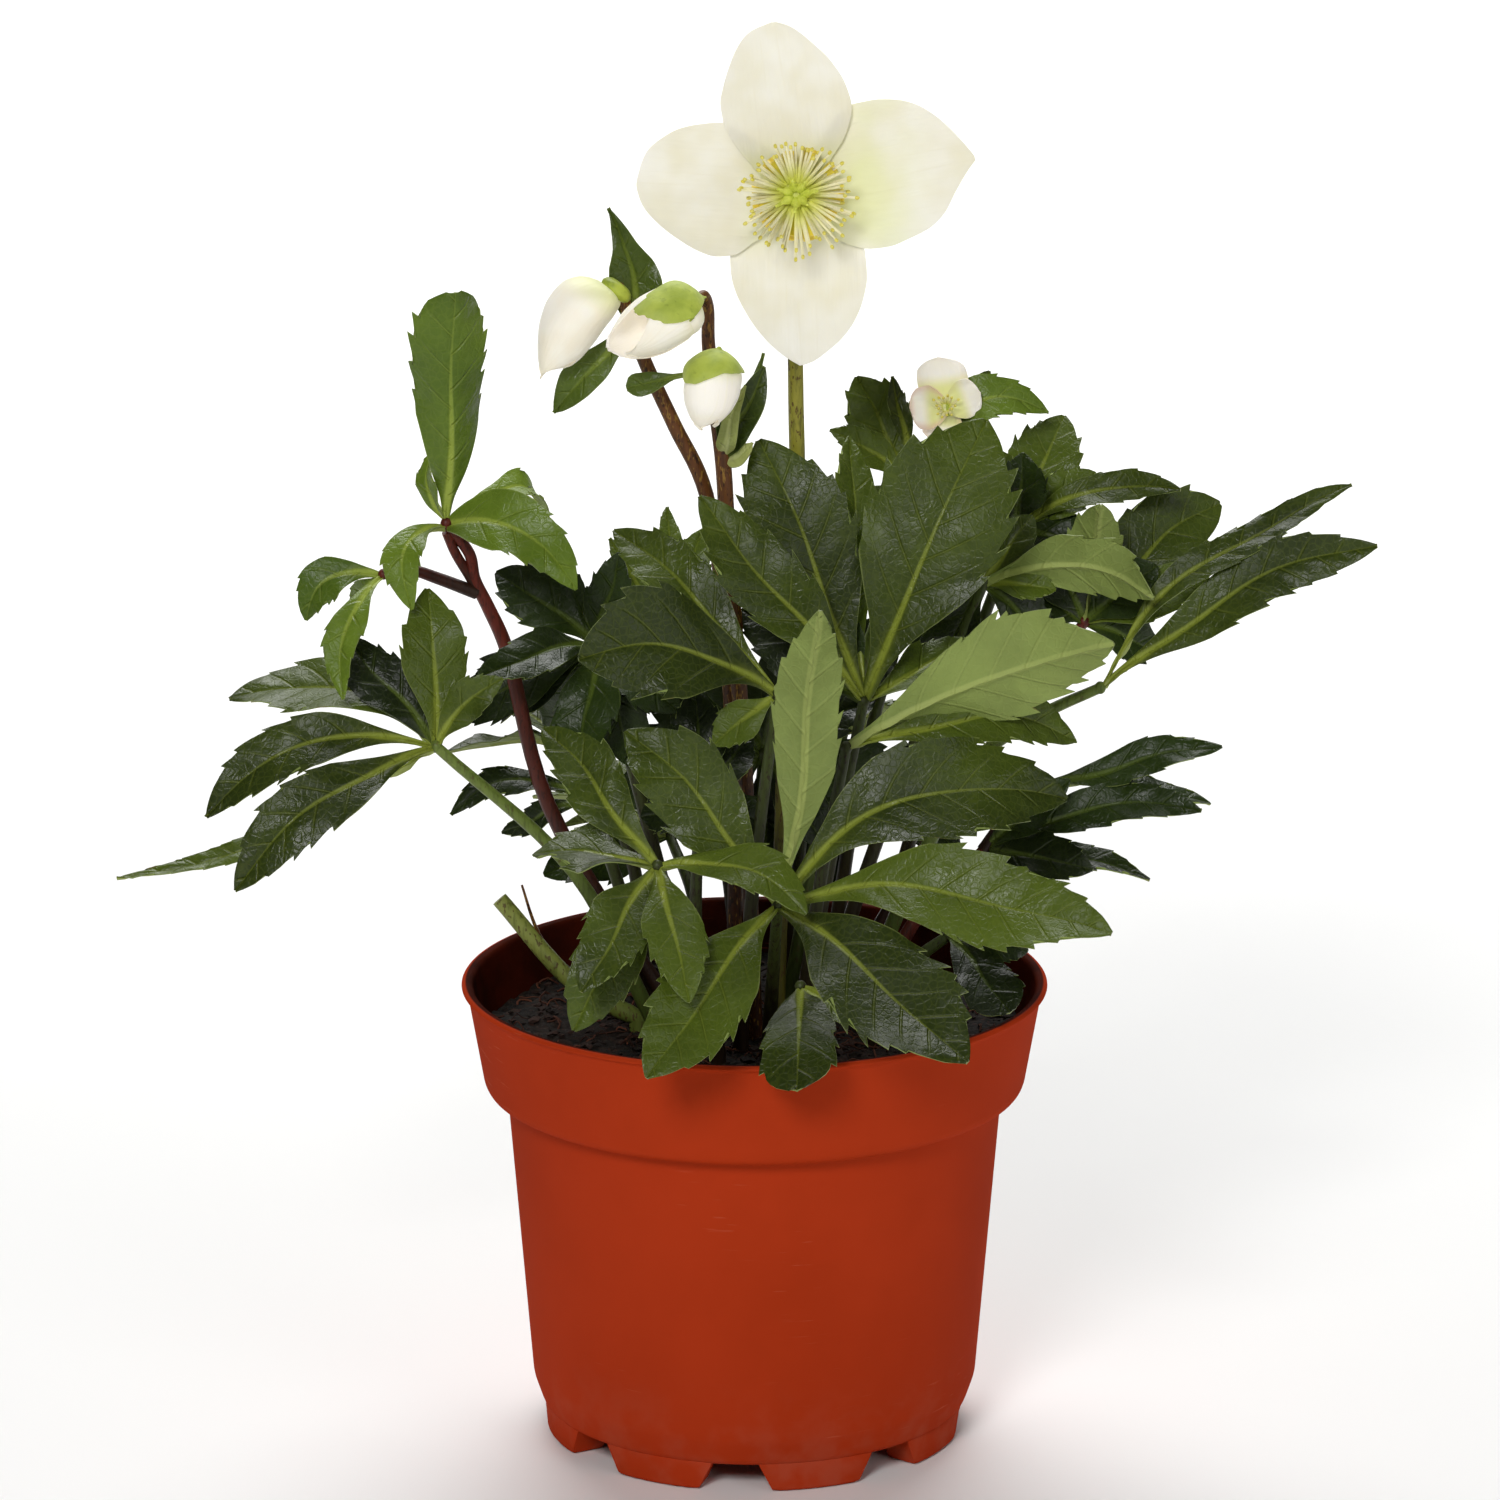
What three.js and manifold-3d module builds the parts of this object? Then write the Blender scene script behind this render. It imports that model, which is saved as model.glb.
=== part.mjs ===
// A Christmas rose, Helleborus niger, in a round plastic nursery pot on eight feet.
// Millimetres, +Z up. The origin lies on the pot's axis, in the plane that its feet stand on,
// and the open flower faces -Y. Leaves, buds and stems keep clear of one another by bending apart.

import * as THREE from 'three';
import { mergeVertices } from 'three/addons/utils/BufferGeometryUtils.js';
import ManifoldModule from 'manifold-3d';

const wasm = await ManifoldModule();
wasm.setup();

// ---------------------------------------------------------------- driving dimensions

const RIM_RADIUS = 65.5;
const RIM_TOP = 104.5;
const LIP_DEPTH = 1.5;
const WALL = 1.4;
const COLLAR = { bottom: 79.5, straightTo: 81.8, radiusTop: 64.3, radiusBottom: 60.6, rounding: 0.9 };
const BODY = { radiusTop: 55.5, radiusBottom: 50, bottom: 12.8 };
const FLOOR = { underside: 6.2, radius: 47, thickness: 1.8 };
const FEET = { count: 8, firstCentre: 17.3, topAngle: 33, bottomAngle: 24.6, inner: 39, outer: 47.6 };
const DRAIN = { radius: 4, ring: 31, sides: 6 };
const POT_SIDES = 32;

const CLEARANCE = 0.3;
const SOIL_TOP = 93;
const SOIL_GRAIN = 1.1;
const HOLE = { depth: 12, collar: 2, sides: 5 };

const STEM_SIDES = 5;
const BLADE_THICKNESS = 0.7;
const BLADE_FOLD = 0.16;
const BLADE_WAVE = 0.1;
const VEIN_LEAD = 0.35;
const BLADE_ROOT = 0.6;

// Leaflet outlines: station on the midrib and half-width there, as shares of the whole. They
// taper to a narrow base, and from the widest point on a drop in width is the notch behind a tooth.
const SHORT_EDGE = [[0, 0.14], [0.26, 0.5], [0.5, 1], [0.57, 0.88], [0.8, 0.68], [1, 0.12]];
const MIDDLE_EDGE = [[0, 0.1], [0.22, 0.34], [0.46, 0.96], [0.53, 0.9], [0.7, 0.92], [0.76, 0.74], [1, 0.1]];
const LONG_EDGE = [
  [0, 0.08], [0.2, 0.25], [0.4, 0.78], [0.54, 1], [0.58, 0.91], [0.71, 0.92], [0.75, 0.78],
  [0.88, 0.6], [1, 0.08],
];
const BLUNT_EDGE = [
  [0, 0.08], [0.14, 0.34], [0.34, 0.7], [0.5, 0.9], [0.56, 0.82], [0.8, 1], [0.84, 0.93],
  [0.94, 0.72], [1, 0.3],
];
const EDGES = [
  { longest: 42, ribbed: false, outline: SHORT_EDGE },
  { longest: 52, ribbed: true, outline: MIDDLE_EDGE },
  { longest: Infinity, ribbed: true, outline: LONG_EDGE },
];

// ---------------------------------------------------------------- materials

const finish = (color, roughness, metalness = 0) =>
  new THREE.MeshStandardMaterial({ color, roughness, metalness });

const MATERIAL = {
  pot: finish('#a5361f', 0.42),
  soil: finish('#2a1c14', 0.98),
  leaf: finish('#35491f', 0.5),
  youngLeaf: finish('#5c7a30', 0.5),
  flowerStem: finish('#7d7a2c', 0.55),
  budStem: finish('#6b3a24', 0.55),
  tepal: finish('#f2efe2', 0.6),
  stamen: finish('#d9cf4a', 0.6),
  cap: finish('#93a94e', 0.55),
};

// ---------------------------------------------------------------- solids

const vector = ([x, y, z]) => new THREE.Vector3(x, y, z);

function seededRandom(seed) {
  let state = seed;
  return () => {
    state = (state * 1664525 + 1013904223) % 4294967296;
    return state / 4294967296;
  };
}

function toSolid(geometry) {
  const bare = geometry.clone();
  for (const name of Object.keys(bare.attributes)) {
    if (name !== 'position') bare.deleteAttribute(name);
  }
  const merged = mergeVertices(bare, 1e-5);
  return new wasm.Manifold(new wasm.Mesh({
    numProp: 3,
    vertProperties: new Float32Array(merged.attributes.position.array),
    triVerts: new Uint32Array(merged.index.array),
  }));
}

function toGeometry(solid) {
  const mesh = solid.getMesh();
  const geometry = new THREE.BufferGeometry();
  geometry.setAttribute('position', new THREE.BufferAttribute(mesh.vertProperties, 3));
  geometry.setIndex(new THREE.BufferAttribute(mesh.triVerts, 1));
  return geometry;
}

const union = (solids) => solids.reduce((joined, solid) => joined.add(solid));

function node(name, solid, material) {
  const mesh = new THREE.Mesh(toGeometry(solid), material);
  mesh.name = name;
  return mesh;
}

// A closed sheet: rows of points become the upper face, and the same points moved down
// along the surface's own normals become the lower one, split into the same triangles.
function sheet(rows, thickness) {
  const across = rows[0].length;
  const at = (i, j) => rows[Math.min(Math.max(i, 0), rows.length - 1)][Math.min(Math.max(j, 0), across - 1)];
  const positions = [];
  const lower = [];
  rows.forEach((row, i) => row.forEach((point, j) => {
    const along = at(i + 1, j).clone().sub(at(i - 1, j));
    const sideways = at(i, j + 1).clone().sub(at(i, j - 1));
    const normal = sideways.cross(along).normalize();
    positions.push(point.x, point.y, point.z);
    const below = point.clone().addScaledVector(normal, -thickness);
    lower.push(below.x, below.y, below.z);
  }));
  const count = rows.length * across;
  const index = [];
  const quad = (a, b, c, d) => index.push(a, b, c, a, c, d);
  for (let i = 0; i < rows.length - 1; i += 1) {
    for (let j = 0; j < across - 1; j += 1) {
      const a = i * across + j;
      const [b, c, d] = [a + 1, a + across + 1, a + across];
      quad(a, b, c, d);
      index.push(a + count, c + count, b + count, a + count, d + count, c + count);
    }
  }
  const wall = (a, b) => quad(b, a, a + count, b + count);
  for (let j = 0; j < across - 1; j += 1) {
    wall(j, j + 1);
    wall(count - across + j + 1, count - across + j);
  }
  for (let i = 0; i < rows.length - 1; i += 1) {
    wall((i + 1) * across, i * across);
    wall((i + 1) * across - 1, (i + 2) * across - 1);
  }
  const geometry = new THREE.BufferGeometry();
  geometry.setAttribute('position', new THREE.Float32BufferAttribute([...positions, ...lower], 3));
  geometry.setIndex(index);
  return toSolid(geometry);
}

// A path that takes its own points as stations, so that a stem stays upright in its hole.
class StationPath extends THREE.CatmullRomCurve3 {
  getUtoTmapping(u) {
    return u;
  }
}

function tube(points, radius) {
  const section = new THREE.Shape(Array.from({ length: STEM_SIDES }, (_, k) => {
    const angle = (2 * Math.PI * k) / STEM_SIDES;
    return new THREE.Vector2(radius * Math.cos(angle), radius * Math.sin(angle));
  }));
  const extrudePath = new StationPath(points);
  return toSolid(new THREE.ExtrudeGeometry(section, { steps: points.length - 1, extrudePath }));
}

// A stem: upright in its hole, then along a smooth curve through the given points.
function stem([x, y], through, radius, stepsPerSpan = 1) {
  const mouth = new THREE.Vector3(x, y, SOIL_TOP + HOLE.collar);
  const curve = new THREE.CatmullRomCurve3([mouth, ...through.map(vector)]);
  const foot = new THREE.Vector3(x, y, SOIL_TOP - HOLE.depth + CLEARANCE);
  return tube([foot, ...curve.getPoints(stepsPerSpan * through.length)], radius);
}

const knob = (centre, radius) =>
  toSolid(new THREE.OctahedronGeometry(radius).translate(...centre));

// ---------------------------------------------------------------- leaves

// A leaflet's midrib is a parabola from hub to tip, bowed towards the side that its upper
// face looks to and swung sideways. Veins lead forward from it to a toothed, waved edge.
function blade(hub, [tip, width, bow, swing, facing, ownEdge], phase) {
  const end = vector(tip);
  const direction = end.clone().sub(vector(hub)).normalize();
  const start = vector(hub).addScaledVector(direction, BLADE_ROOT);
  const chord = end.clone().sub(start);
  const up = vector(facing);
  up.addScaledVector(direction, -up.dot(direction)).normalize();
  const side = direction.clone().cross(up);
  const middle = start.clone().addScaledVector(chord, 0.5);
  middle.addScaledVector(up, bow).addScaledVector(side, swing);
  const midrib = new THREE.QuadraticBezierCurve3(start, middle, end);
  const edge = EDGES.find(({ longest }) => chord.length() < longest);
  const outline = ownEdge ?? edge.outline;
  const rows = outline.map(([station, share]) => {
    const point = midrib.getPoint(station);
    const along = midrib.getTangent(station);
    const normal = up.clone().addScaledVector(along, -up.dot(along)).normalize();
    const outward = along.clone().cross(normal);
    const reach = (share * width) / 2;
    const margin = (hand) => {
      const wave = BLADE_WAVE * Math.sin(9 * station + phase + hand);
      return point.clone()
        .addScaledVector(outward, hand * reach)
        .addScaledVector(along, VEIN_LEAD * reach * (1 - station))
        .addScaledVector(normal, (BLADE_FOLD + wave) * reach);
    };
    return edge.ribbed ? [margin(-1), point, margin(1)] : [margin(-1), margin(1)];
  });
  return sheet(rows, BLADE_THICKNESS);
}

function leaflets(hub, rows) {
  return rows.map((row, index) => blade(hub, row, index * 1.7));
}

// Each leaf: its hole in the soil, the points its stalk passes, its hub and its leaflets.
// A leaflet is its tip, width, bow, swing, the direction that its upper face looks to and,
// where it has one of its own, its outline.
const VIEWER = [0, -3, 2];
const LEVEL = [0, -1, 4];
const AWAY = [0, 3, 1];

const LEAVES = {
  leaf_front_left: {
    hole: [-8, -26], through: [[-12, -34, 120]], hub: [-21, -50, 145], leaflets: [
      [[-46, -28, 170], 15, 7, 0, VIEWER],
      [[-48, -44, 146], 20, 4, 0, LEVEL],
      [[-37, -74, 124], 15, 6, 0, VIEWER],
      [[-39, -60, 111], 16, 6, 0, VIEWER],
      [[-14, -78, 123], 14, 6, 0, VIEWER],
      [[11, -66, 139], 14, 8, -7, [0, -2, 3]],
    ],
  },
  leaf_front_centre: {
    hole: [3, -28], through: [[4, -34, 115]], hub: [5, -46, 135], leaflets: [
      [[-23, -84, 108], 22, 9, 0, VIEWER],
      [[45, -92, 114], 28, 10, 0, VIEWER],
      [[76, -74, 137], 23, 7, -10, VIEWER],
      [[68, -32, 155], 25, 20, -19, VIEWER],
      [[-28, -38, 172], 21, 8, 3, VIEWER],
      [[14, -54, 203], 16, 11, -3, AWAY],
    ],
  },
  leaf_front_low: {
    hole: [14, -26], through: [[13, -34, 106]], hub: [10, -44, 116], leaflets: [
      [[9, -80, 104], 18, 6, 0, VIEWER, BLUNT_EDGE],
      [[32, -66, 112], 10, 5, 0, VIEWER],
    ],
  },
  leaf_low_right: {
    hole: [26, -10], through: [[36, -11, 112]], hub: [43, -12, 118], leaflets: [
      [[56, -34, 107], 14, 4, 0, VIEWER, BLUNT_EDGE],
      [[61, -4, 112], 9, 3, 0, VIEWER],
    ],
  },
  leaf_mid_left: {
    hole: [-3, -14], through: [[0, -18, 135]], hub: [5, -22, 176], leaflets: [
      [[-38, -38, 188], 26, 8, 10, VIEWER],
      [[-31, 2, 207], 15, 8, 2, VIEWER],
      [[-9, -24, 165], 10, 3, 0, VIEWER],
    ],
  },
  leaf_inner_left: {
    hole: [-12, -14], through: [[-13, -17, 125]], hub: [-12, -20, 150], leaflets: [
      [[-13, -12, 174], 14, 4, 0, VIEWER],
      [[-1, -10, 164], 10, 3, 0, VIEWER],
      [[-25, -18, 147], 10, 2, 0, VIEWER],
    ],
  },
  leaf_inner_back: {
    hole: [-2, 14], through: [[0, 20, 125]], hub: [2, 24, 150], leaflets: [
      [[-24, 20, 163], 15, 5, 0, VIEWER],
      [[-14, 27, 184], 14, 5, 0, VIEWER],
      [[13, 28, 186], 14, 5, 0, VIEWER],
      [[27, 25, 162], 14, 5, 0, VIEWER],
      [[-15, 17, 130], 13, 5, 0, VIEWER],
      [[16, 17, 130], 13, 5, 0, VIEWER],
    ],
  },
  leaf_mid_right: {
    hole: [10, -8], through: [[16, -9, 130]], hub: [24, -10, 171], leaflets: [
      [[51, 6, 231], 33, 11, 0, VIEWER],
      [[-12, -8, 217], 17, 14, -3, VIEWER],
      [[1, 4, 227], 26, 7, 1, VIEWER],
      [[49, 6, 181], 11, 4, 0, VIEWER],
      [[21, 20, 224], 13, 7, -5, [1, -2, 0]],
    ],
  },
  leaf_right_pale: {
    hole: [10, -18], through: [[14, -22, 130]], hub: [20, -26, 165], leaflets: [
      [[78, -28, 189], 27, 11, 0, AWAY],
      [[71, -6, 161], 14, 14, -7, VIEWER],
    ],
  },
  leaf_right_low: {
    hole: [24, 2], through: [[38, 3, 120]], hub: [51, 4, 133], leaflets: [
      [[99, -6, 145], 11, 3, -9, VIEWER],
      [[75, -8, 132], 12, 4, 0, VIEWER],
      [[88, -2, 128], 10, 3, -1, [0, -1, 2]],
    ],
    branch: { from: [51, 4, 133], through: [[57, 6, 141]], hub: [64, 8, 147], leaflets: [
      [[104, 4, 157], 10, 4, 0, VIEWER],
      [[102, 11, 142], 12, 8, 5, LEVEL],
    ] },
  },
  leaf_far_right: {
    hole: [24, 12], through: [[50, 12, 135]], hub: [77, 10, 169], leaflets: [
      [[133, 22, 212.5], 9, 15, -1, [-1, -2, 2]],
      [[137.5, 4, 203], 13, 8, 0, VIEWER],
    ],
  },
  leaf_right_upper: {
    hole: [20, 21], through: [[46, 26, 140]], hub: [74, 26, 180], leaflets: [
      [[77, 18, 209], 14, 5, 0, AWAY],
      [[105, 40, 204], 21, 8, -3, VIEWER],
      [[102, 24, 192], 12, 4, 2, VIEWER],
    ],
  },
  leaf_right_mid: {
    hole: [15, 12], through: [[32, 14, 145]], hub: [51, 14, 192], leaflets: [
      [[88, 0, 192], 17, 11, 7, AWAY],
      [[67, 12, 191], 8, 3, 0, VIEWER],
      [[62, 20, 206], 11, 3, 0, VIEWER],
    ],
  },
  leaf_right_back: {
    hole: [26, 28], through: [[42, 33, 150]], hub: [59, 36, 199], leaflets: [
      [[70, 50, 222], 17, 5, 0, VIEWER],
      [[95, 24, 211], 9, 3, -8, [0, -1, 1]],
      [[77, 40, 211], 12, 4, 0, VIEWER],
      [[82, 54, 207], 8, 5, 0, VIEWER],
    ],
  },
  leaf_left: {
    hole: [-22, -6], through: [[-40, -10, 132]], hub: [-70, -14, 162], leaflets: [
      [[-72, -3, 195], 14, 6, 0, [1, -4, 0]],
      [[-116, -4, 173], 18, 15, 6, [0, -1, 2]],
      [[-120, -24, 150], 15, 17, 14, VIEWER],
      [[-113, -38, 136], 16, 18, 6, VIEWER],
      [[-140.5, -18, 133], 7, 4, -4, LEVEL],
      [[-55, -20, 179], 10, 4, -3, VIEWER],
    ],
  },
  leaf_top_left: {
    material: MATERIAL.youngLeaf,
    hole: [-18, 4], through: [[-46, 9, 142], [-54, 11, 183]], hub: [-68, 4, 208], leaflets: [
      [[-65, -6, 262], 17, 1, 0, [1, -6, 0], BLUNT_EDGE],
      [[-39, -12, 197], 14, 18, -7, [0, -1, 1]],
      [[-46, 16, 203], 9, 26, -1, [0, -1, 2]],
      [[-75, -12, 192.5], 10, 16, 5, [-1, -2, 1]],
      [[-71, 10, 223], 7, 7, 0, [-1, -1, 0]],
    ],
    branch: { from: [-59, 9, 195], through: [[-73, 6, 198]], hub: [-82, 2, 197], leaflets: [
      [[-99, 0, 187], 11, 8, 8, [0, -1, 1]],
      [[-90, -19, 174], 9, 9, 5, [-1, -3, 0]],
      [[-90, 10, 187], 7, 2, 0, VIEWER],
    ] },
  },
  leaf_back_left: {
    hole: [-14, 16], through: [[-24, 18, 135]], hub: [-35, 21, 176], leaflets: [
      [[-58, 28, 191], 14, 5, 0, VIEWER],
      [[-51, 38, 194], 11, 5, 0, VIEWER],
      [[-61, -8, 176], 12, 6, 0, [0, -1, 1]],
      [[-64, 30, 158], 17, 6, 0, VIEWER],
      [[-47, 34, 151], 14, 5, 0, VIEWER],
    ],
  },
  leaf_back_mid: {
    hole: [-3, 27], through: [[-8, 38, 130]], hub: [-20, 50, 170], leaflets: [
      [[-33, 56, 192], 7, 4, 0, VIEWER],
      [[-20, 66, 197], 7, 5, 0, VIEWER],
      [[-12, 60, 193], 11, 4, 0, VIEWER],
      [[-46, 78, 166], 16, 7, 0, [-1, 2, 3]],
      [[-8, 91, 164], 18, 8, 0, [0, 2, 3]],
    ],
  },
  leaf_low_left: {
    hole: [-22, 12], through: [[-30, 15, 120]], hub: [-37, 17, 141], leaflets: [
      [[-68, 12, 139], 9, 11, 7, [0, -1, 2]],
      [[-57, 22, 132], 7, 4, 0, VIEWER],
    ],
  },
};

// Leaves at the back: azimuth from +X, hub distance and height, the longest leaflet, and the
// angles at which the leaflets fan out from the azimuth.
const REAR_LEAVES = [
  { azimuth: 54, hole: [17, 33], reach: 60, height: 180, longest: 42, fan: [-52, -12, 30, 72] },
  { azimuth: 74, hole: [8, 34], reach: 54, height: 146, longest: 38, fan: [-92, -46, 0, 46, 92] },
  { azimuth: 112, hole: [-14, 32], reach: 52, height: 124, longest: 42, fan: [-92, -46, 0, 46, 92] },
  { azimuth: 138, hole: [-24, 25], reach: 54, height: 148, longest: 36, fan: [-80, -40, 0, 42] },
];

// What the rear leaves share: how leaflets shorten and rise over the fan, and lengths, widths
// and bows as shares of a leaflet's length or of its hub's place.
const REAR_RULE = {
  shortening: 280, variation: 0.1, rise: 0.2, fall: 0.4, narrowest: 4, width: 0.3, bow: 0.16, upward: 2.5,
  kneeOut: 0.7, kneeUp: 0.6,
};

function rearLeaf({ azimuth, hole, reach, height, longest, fan }, random) {
  const ahead = (angle) => Math.cos(THREE.MathUtils.degToRad(angle));
  const sideways = (angle) => Math.sin(THREE.MathUtils.degToRad(angle));
  const rule = REAR_RULE;
  const outward = [ahead(azimuth), sideways(azimuth), rule.upward];
  const hub = [reach * outward[0], reach * outward[1], height];
  const rows = fan.map((spread) => {
    const length = longest * (1 - Math.abs(spread) / rule.shortening) * (1 - rule.variation * random());
    const rise = length * (rule.rise - rule.fall * ahead(spread) * random());
    const tip = [
      hub[0] + length * ahead(azimuth + spread), hub[1] + length * sideways(azimuth + spread), hub[2] + rise,
    ];
    return [tip, rule.width * length + rule.narrowest, rule.bow * length, 0, outward];
  });
  const kneeHeight = SOIL_TOP + rule.kneeUp * (height - SOIL_TOP);
  const knee = [hub[0] * rule.kneeOut, hub[1] * rule.kneeOut, kneeHeight];
  return { hole, through: [knee], hub, leaflets: rows };
}

const PETIOLE_RADIUS = 1.8;
const HUB_RADIUS = 2.9;

function leaf({ hole, through, hub, leaflets: rows, branch }) {
  const parts = [stem(hole, [...through, hub], PETIOLE_RADIUS, 2), knob(hub, HUB_RADIUS)];
  parts.push(...leaflets(hub, rows));
  if (branch) {
    const curve = new THREE.CatmullRomCurve3([branch.from, ...branch.through, branch.hub].map(vector));
    parts.push(tube(curve.getPoints(3), PETIOLE_RADIUS * 0.7));
    parts.push(knob(branch.hub, HUB_RADIUS * 0.9), ...leaflets(branch.hub, branch.leaflets));
  }
  return union(parts);
}

// ---------------------------------------------------------------- flower, buds and young bloom

const TEPAL_THICKNESS = 0.8;

// Half-width of a tepal along its length, as shares of the whole.
const TEPAL_OUTLINE = [
  [0, 0.3], [0.16, 0.62], [0.32, 0.9], [0.47, 1], [0.64, 0.91], [0.79, 0.72], [0.92, 0.42], [1, 0.08],
];
const TEPAL_COLUMNS = [-1, -0.5, 0, 0.5, 1];
const YOUNG_OUTLINE = [[0, 0.4], [0.3, 0.85], [0.6, 1], [0.85, 0.72], [1, 0.2]];
const YOUNG_COLUMNS = [-1, 0, 1];

// A flower's own frame: x across, y up in the plane of the tepals, z out along its axis.
function flowerFrame(centre, facing) {
  const outward = vector(facing).normalize();
  const across = new THREE.Vector3(0, 0, 1).cross(outward).normalize();
  const upward = outward.clone().cross(across);
  return new THREE.Matrix4().makeBasis(across, upward, outward).setPosition(...centre);
}

const placed = (geometry, frame) => toSolid(geometry.applyMatrix4(frame));

// A tepal grows from the middle at an angle in the flower's plane, dished along and across.
function tepal(frame, { angle, length, width, lift, dish = 0.05, curl = 2.2, young = false }) {
  const turn = THREE.MathUtils.degToRad(angle);
  const [outline, columns] = young ? [YOUNG_OUTLINE, YOUNG_COLUMNS] : [TEPAL_OUTLINE, TEPAL_COLUMNS];
  const rows = outline.map(([station, share]) => columns.map((column) => {
    const along = station * length;
    const sideways = (-column * share * width) / 2;
    const height = lift + curl * station ** 2 + dish * width * (column * share) ** 2;
    return new THREE.Vector3(
      along * Math.cos(turn) - sideways * Math.sin(turn),
      along * Math.sin(turn) + sideways * Math.cos(turn),
      height,
    ).applyMatrix4(frame);
  }));
  return sheet(rows, TEPAL_THICKNESS);
}

// A slender body turned from a profile, that leaves a ring round the flower's axis, leaning outwards.
function spoke({ angle, ring, base, lean, profile, sides }) {
  const points = profile.map(([radius, height]) => new THREE.Vector2(radius, height));
  const body = new THREE.LatheGeometry(points, sides).rotateX(Math.PI / 2);
  return body.rotateY(lean).translate(ring, 0, base).rotateZ(angle);
}

const stamenProfile = (length) => [[0, 0], [0.3, 0], [0.26, length - 2], [0.75, length - 1.1], [0, length]];
const nectaryProfile = (length) => [[0, 0], [0.5, 0], [0.7, 0.5 * length], [1.3, length], [0, length - 0.8]];
const carpelProfile = (length) => [[0, 0], [1.1, 0], [0.8, 0.45 * length], [0.35, length], [0, length]];

const FLOWER = {
  centre: [9, -10, 284.5],
  facing: [0, -0.98, 0.2],
  tepals: [
    { angle: 97.5, length: 37.3, width: 28.6, lift: 1.3 },
    { angle: 176, length: 34.6, width: 29, lift: 0 },
    { angle: 11.6, length: 39.3, width: 32.6, lift: 0.1 },
    { angle: -88, length: 36.8, width: 29.6, lift: -1.3 },
  ],
  receptacle: { radius: 3.4, back: -5.8, front: -2.5 },
  base: { radius: 3.4, back: -1.9, front: 1.6 },
  disc: { radius: 3.6, back: 1.9, front: 5.2 },
  carpels: { count: 5, ring: 1.3, base: 4.6, lean: 0.2, length: 8 },
  nectaries: { count: 9, ring: 3, base: 3.2, lean: 1.34, length: 7.4 },
  stamens: {
    count: 24, ring: 3.2, base: 4.7, leanFrom: 0.7, leanTo: 1.16, reach: 9.2, longest: 12.5, shortest: 0.86,
  },
};

function turnedDisc({ radius, back, front }, taper, sides) {
  const disc = new THREE.CylinderGeometry(radius, radius * taper, front - back, sides);
  return disc.rotateX(Math.PI / 2).translate(0, 0, (front + back) / 2);
}

function flowerTepals() {
  const frame = flowerFrame(FLOWER.centre, FLOWER.facing);
  const base = placed(turnedDisc(FLOWER.base, 1, 8), frame);
  return union([base, ...FLOWER.tepals.map((row) => tepal(frame, row))]);
}

function flowerCentre() {
  const frame = flowerFrame(FLOWER.centre, FLOWER.facing);
  const random = seededRandom(3);
  const { disc, carpels, nectaries, stamens } = FLOWER;
  const parts = [placed(turnedDisc(disc, 1, 10), frame)];
  const add = (shape) => parts.push(placed(spoke(shape), frame));
  for (let k = 0; k < carpels.count; k += 1) {
    const angle = (2 * Math.PI * k) / carpels.count;
    add({ ...carpels, angle, profile: carpelProfile(carpels.length), sides: 4 });
  }
  for (let k = 0; k < nectaries.count; k += 1) {
    const angle = (2 * Math.PI * (k + 0.3)) / nectaries.count;
    add({ ...nectaries, angle, profile: nectaryProfile(nectaries.length), sides: 4 });
  }
  for (let k = 0; k < stamens.count; k += 1) {
    const angle = (2 * Math.PI * (k + 0.3 * random())) / stamens.count;
    const lean = THREE.MathUtils.lerp(stamens.leanFrom, stamens.leanTo, random());
    const share = THREE.MathUtils.lerp(stamens.shortest, 1, random());
    const length = Math.min((stamens.reach * share) / Math.sin(lean), stamens.longest);
    add({ ...stamens, angle, lean, profile: stamenProfile(length), sides: 3 });
  }
  return union(parts);
}

// A closed bud hangs from its neck: an egg with three soft folds winding towards its tip.
const BUD_OUTLINE = [
  [0, 0], [0.04, 0.42], [0.16, 0.82], [0.34, 1], [0.54, 0.96], [0.74, 0.76], [0.9, 0.42], [1, 0],
];
const BUD_SIDES = 10;

function budFrame(neck, tip) {
  const along = vector(tip).sub(vector(neck)).normalize();
  const turned = new THREE.Quaternion().setFromUnitVectors(new THREE.Vector3(0, 1, 0), along);
  return new THREE.Matrix4().makeRotationFromQuaternion(turned).setPosition(...neck);
}

const foldAt = (angle, station) => 1 + 0.045 * Math.cos(3 * angle + 2.4 * station);

function bud({ neck, tip, width }) {
  const length = vector(neck).distanceTo(vector(tip));
  const profile = BUD_OUTLINE.map(
    ([station, share]) => new THREE.Vector2((share * width) / 2, station * length),
  );
  const geometry = new THREE.LatheGeometry(profile, BUD_SIDES);
  const position = geometry.attributes.position;
  for (let i = 0; i < position.count; i += 1) {
    const [x, y, z] = [position.getX(i), position.getY(i), position.getZ(i)];
    const fold = foldAt(Math.atan2(z, x), y / length);
    position.setXYZ(i, x * fold, y, z * fold);
  }
  return placed(geometry, budFrame(neck, tip));
}

// A green outer tepal lies over part of a bud like a hood, from the neck to a share of its length.
const HOOD = { columns: 6, gap: 0.5, narrowest: 0.8, lastRow: 0.72 };

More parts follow.
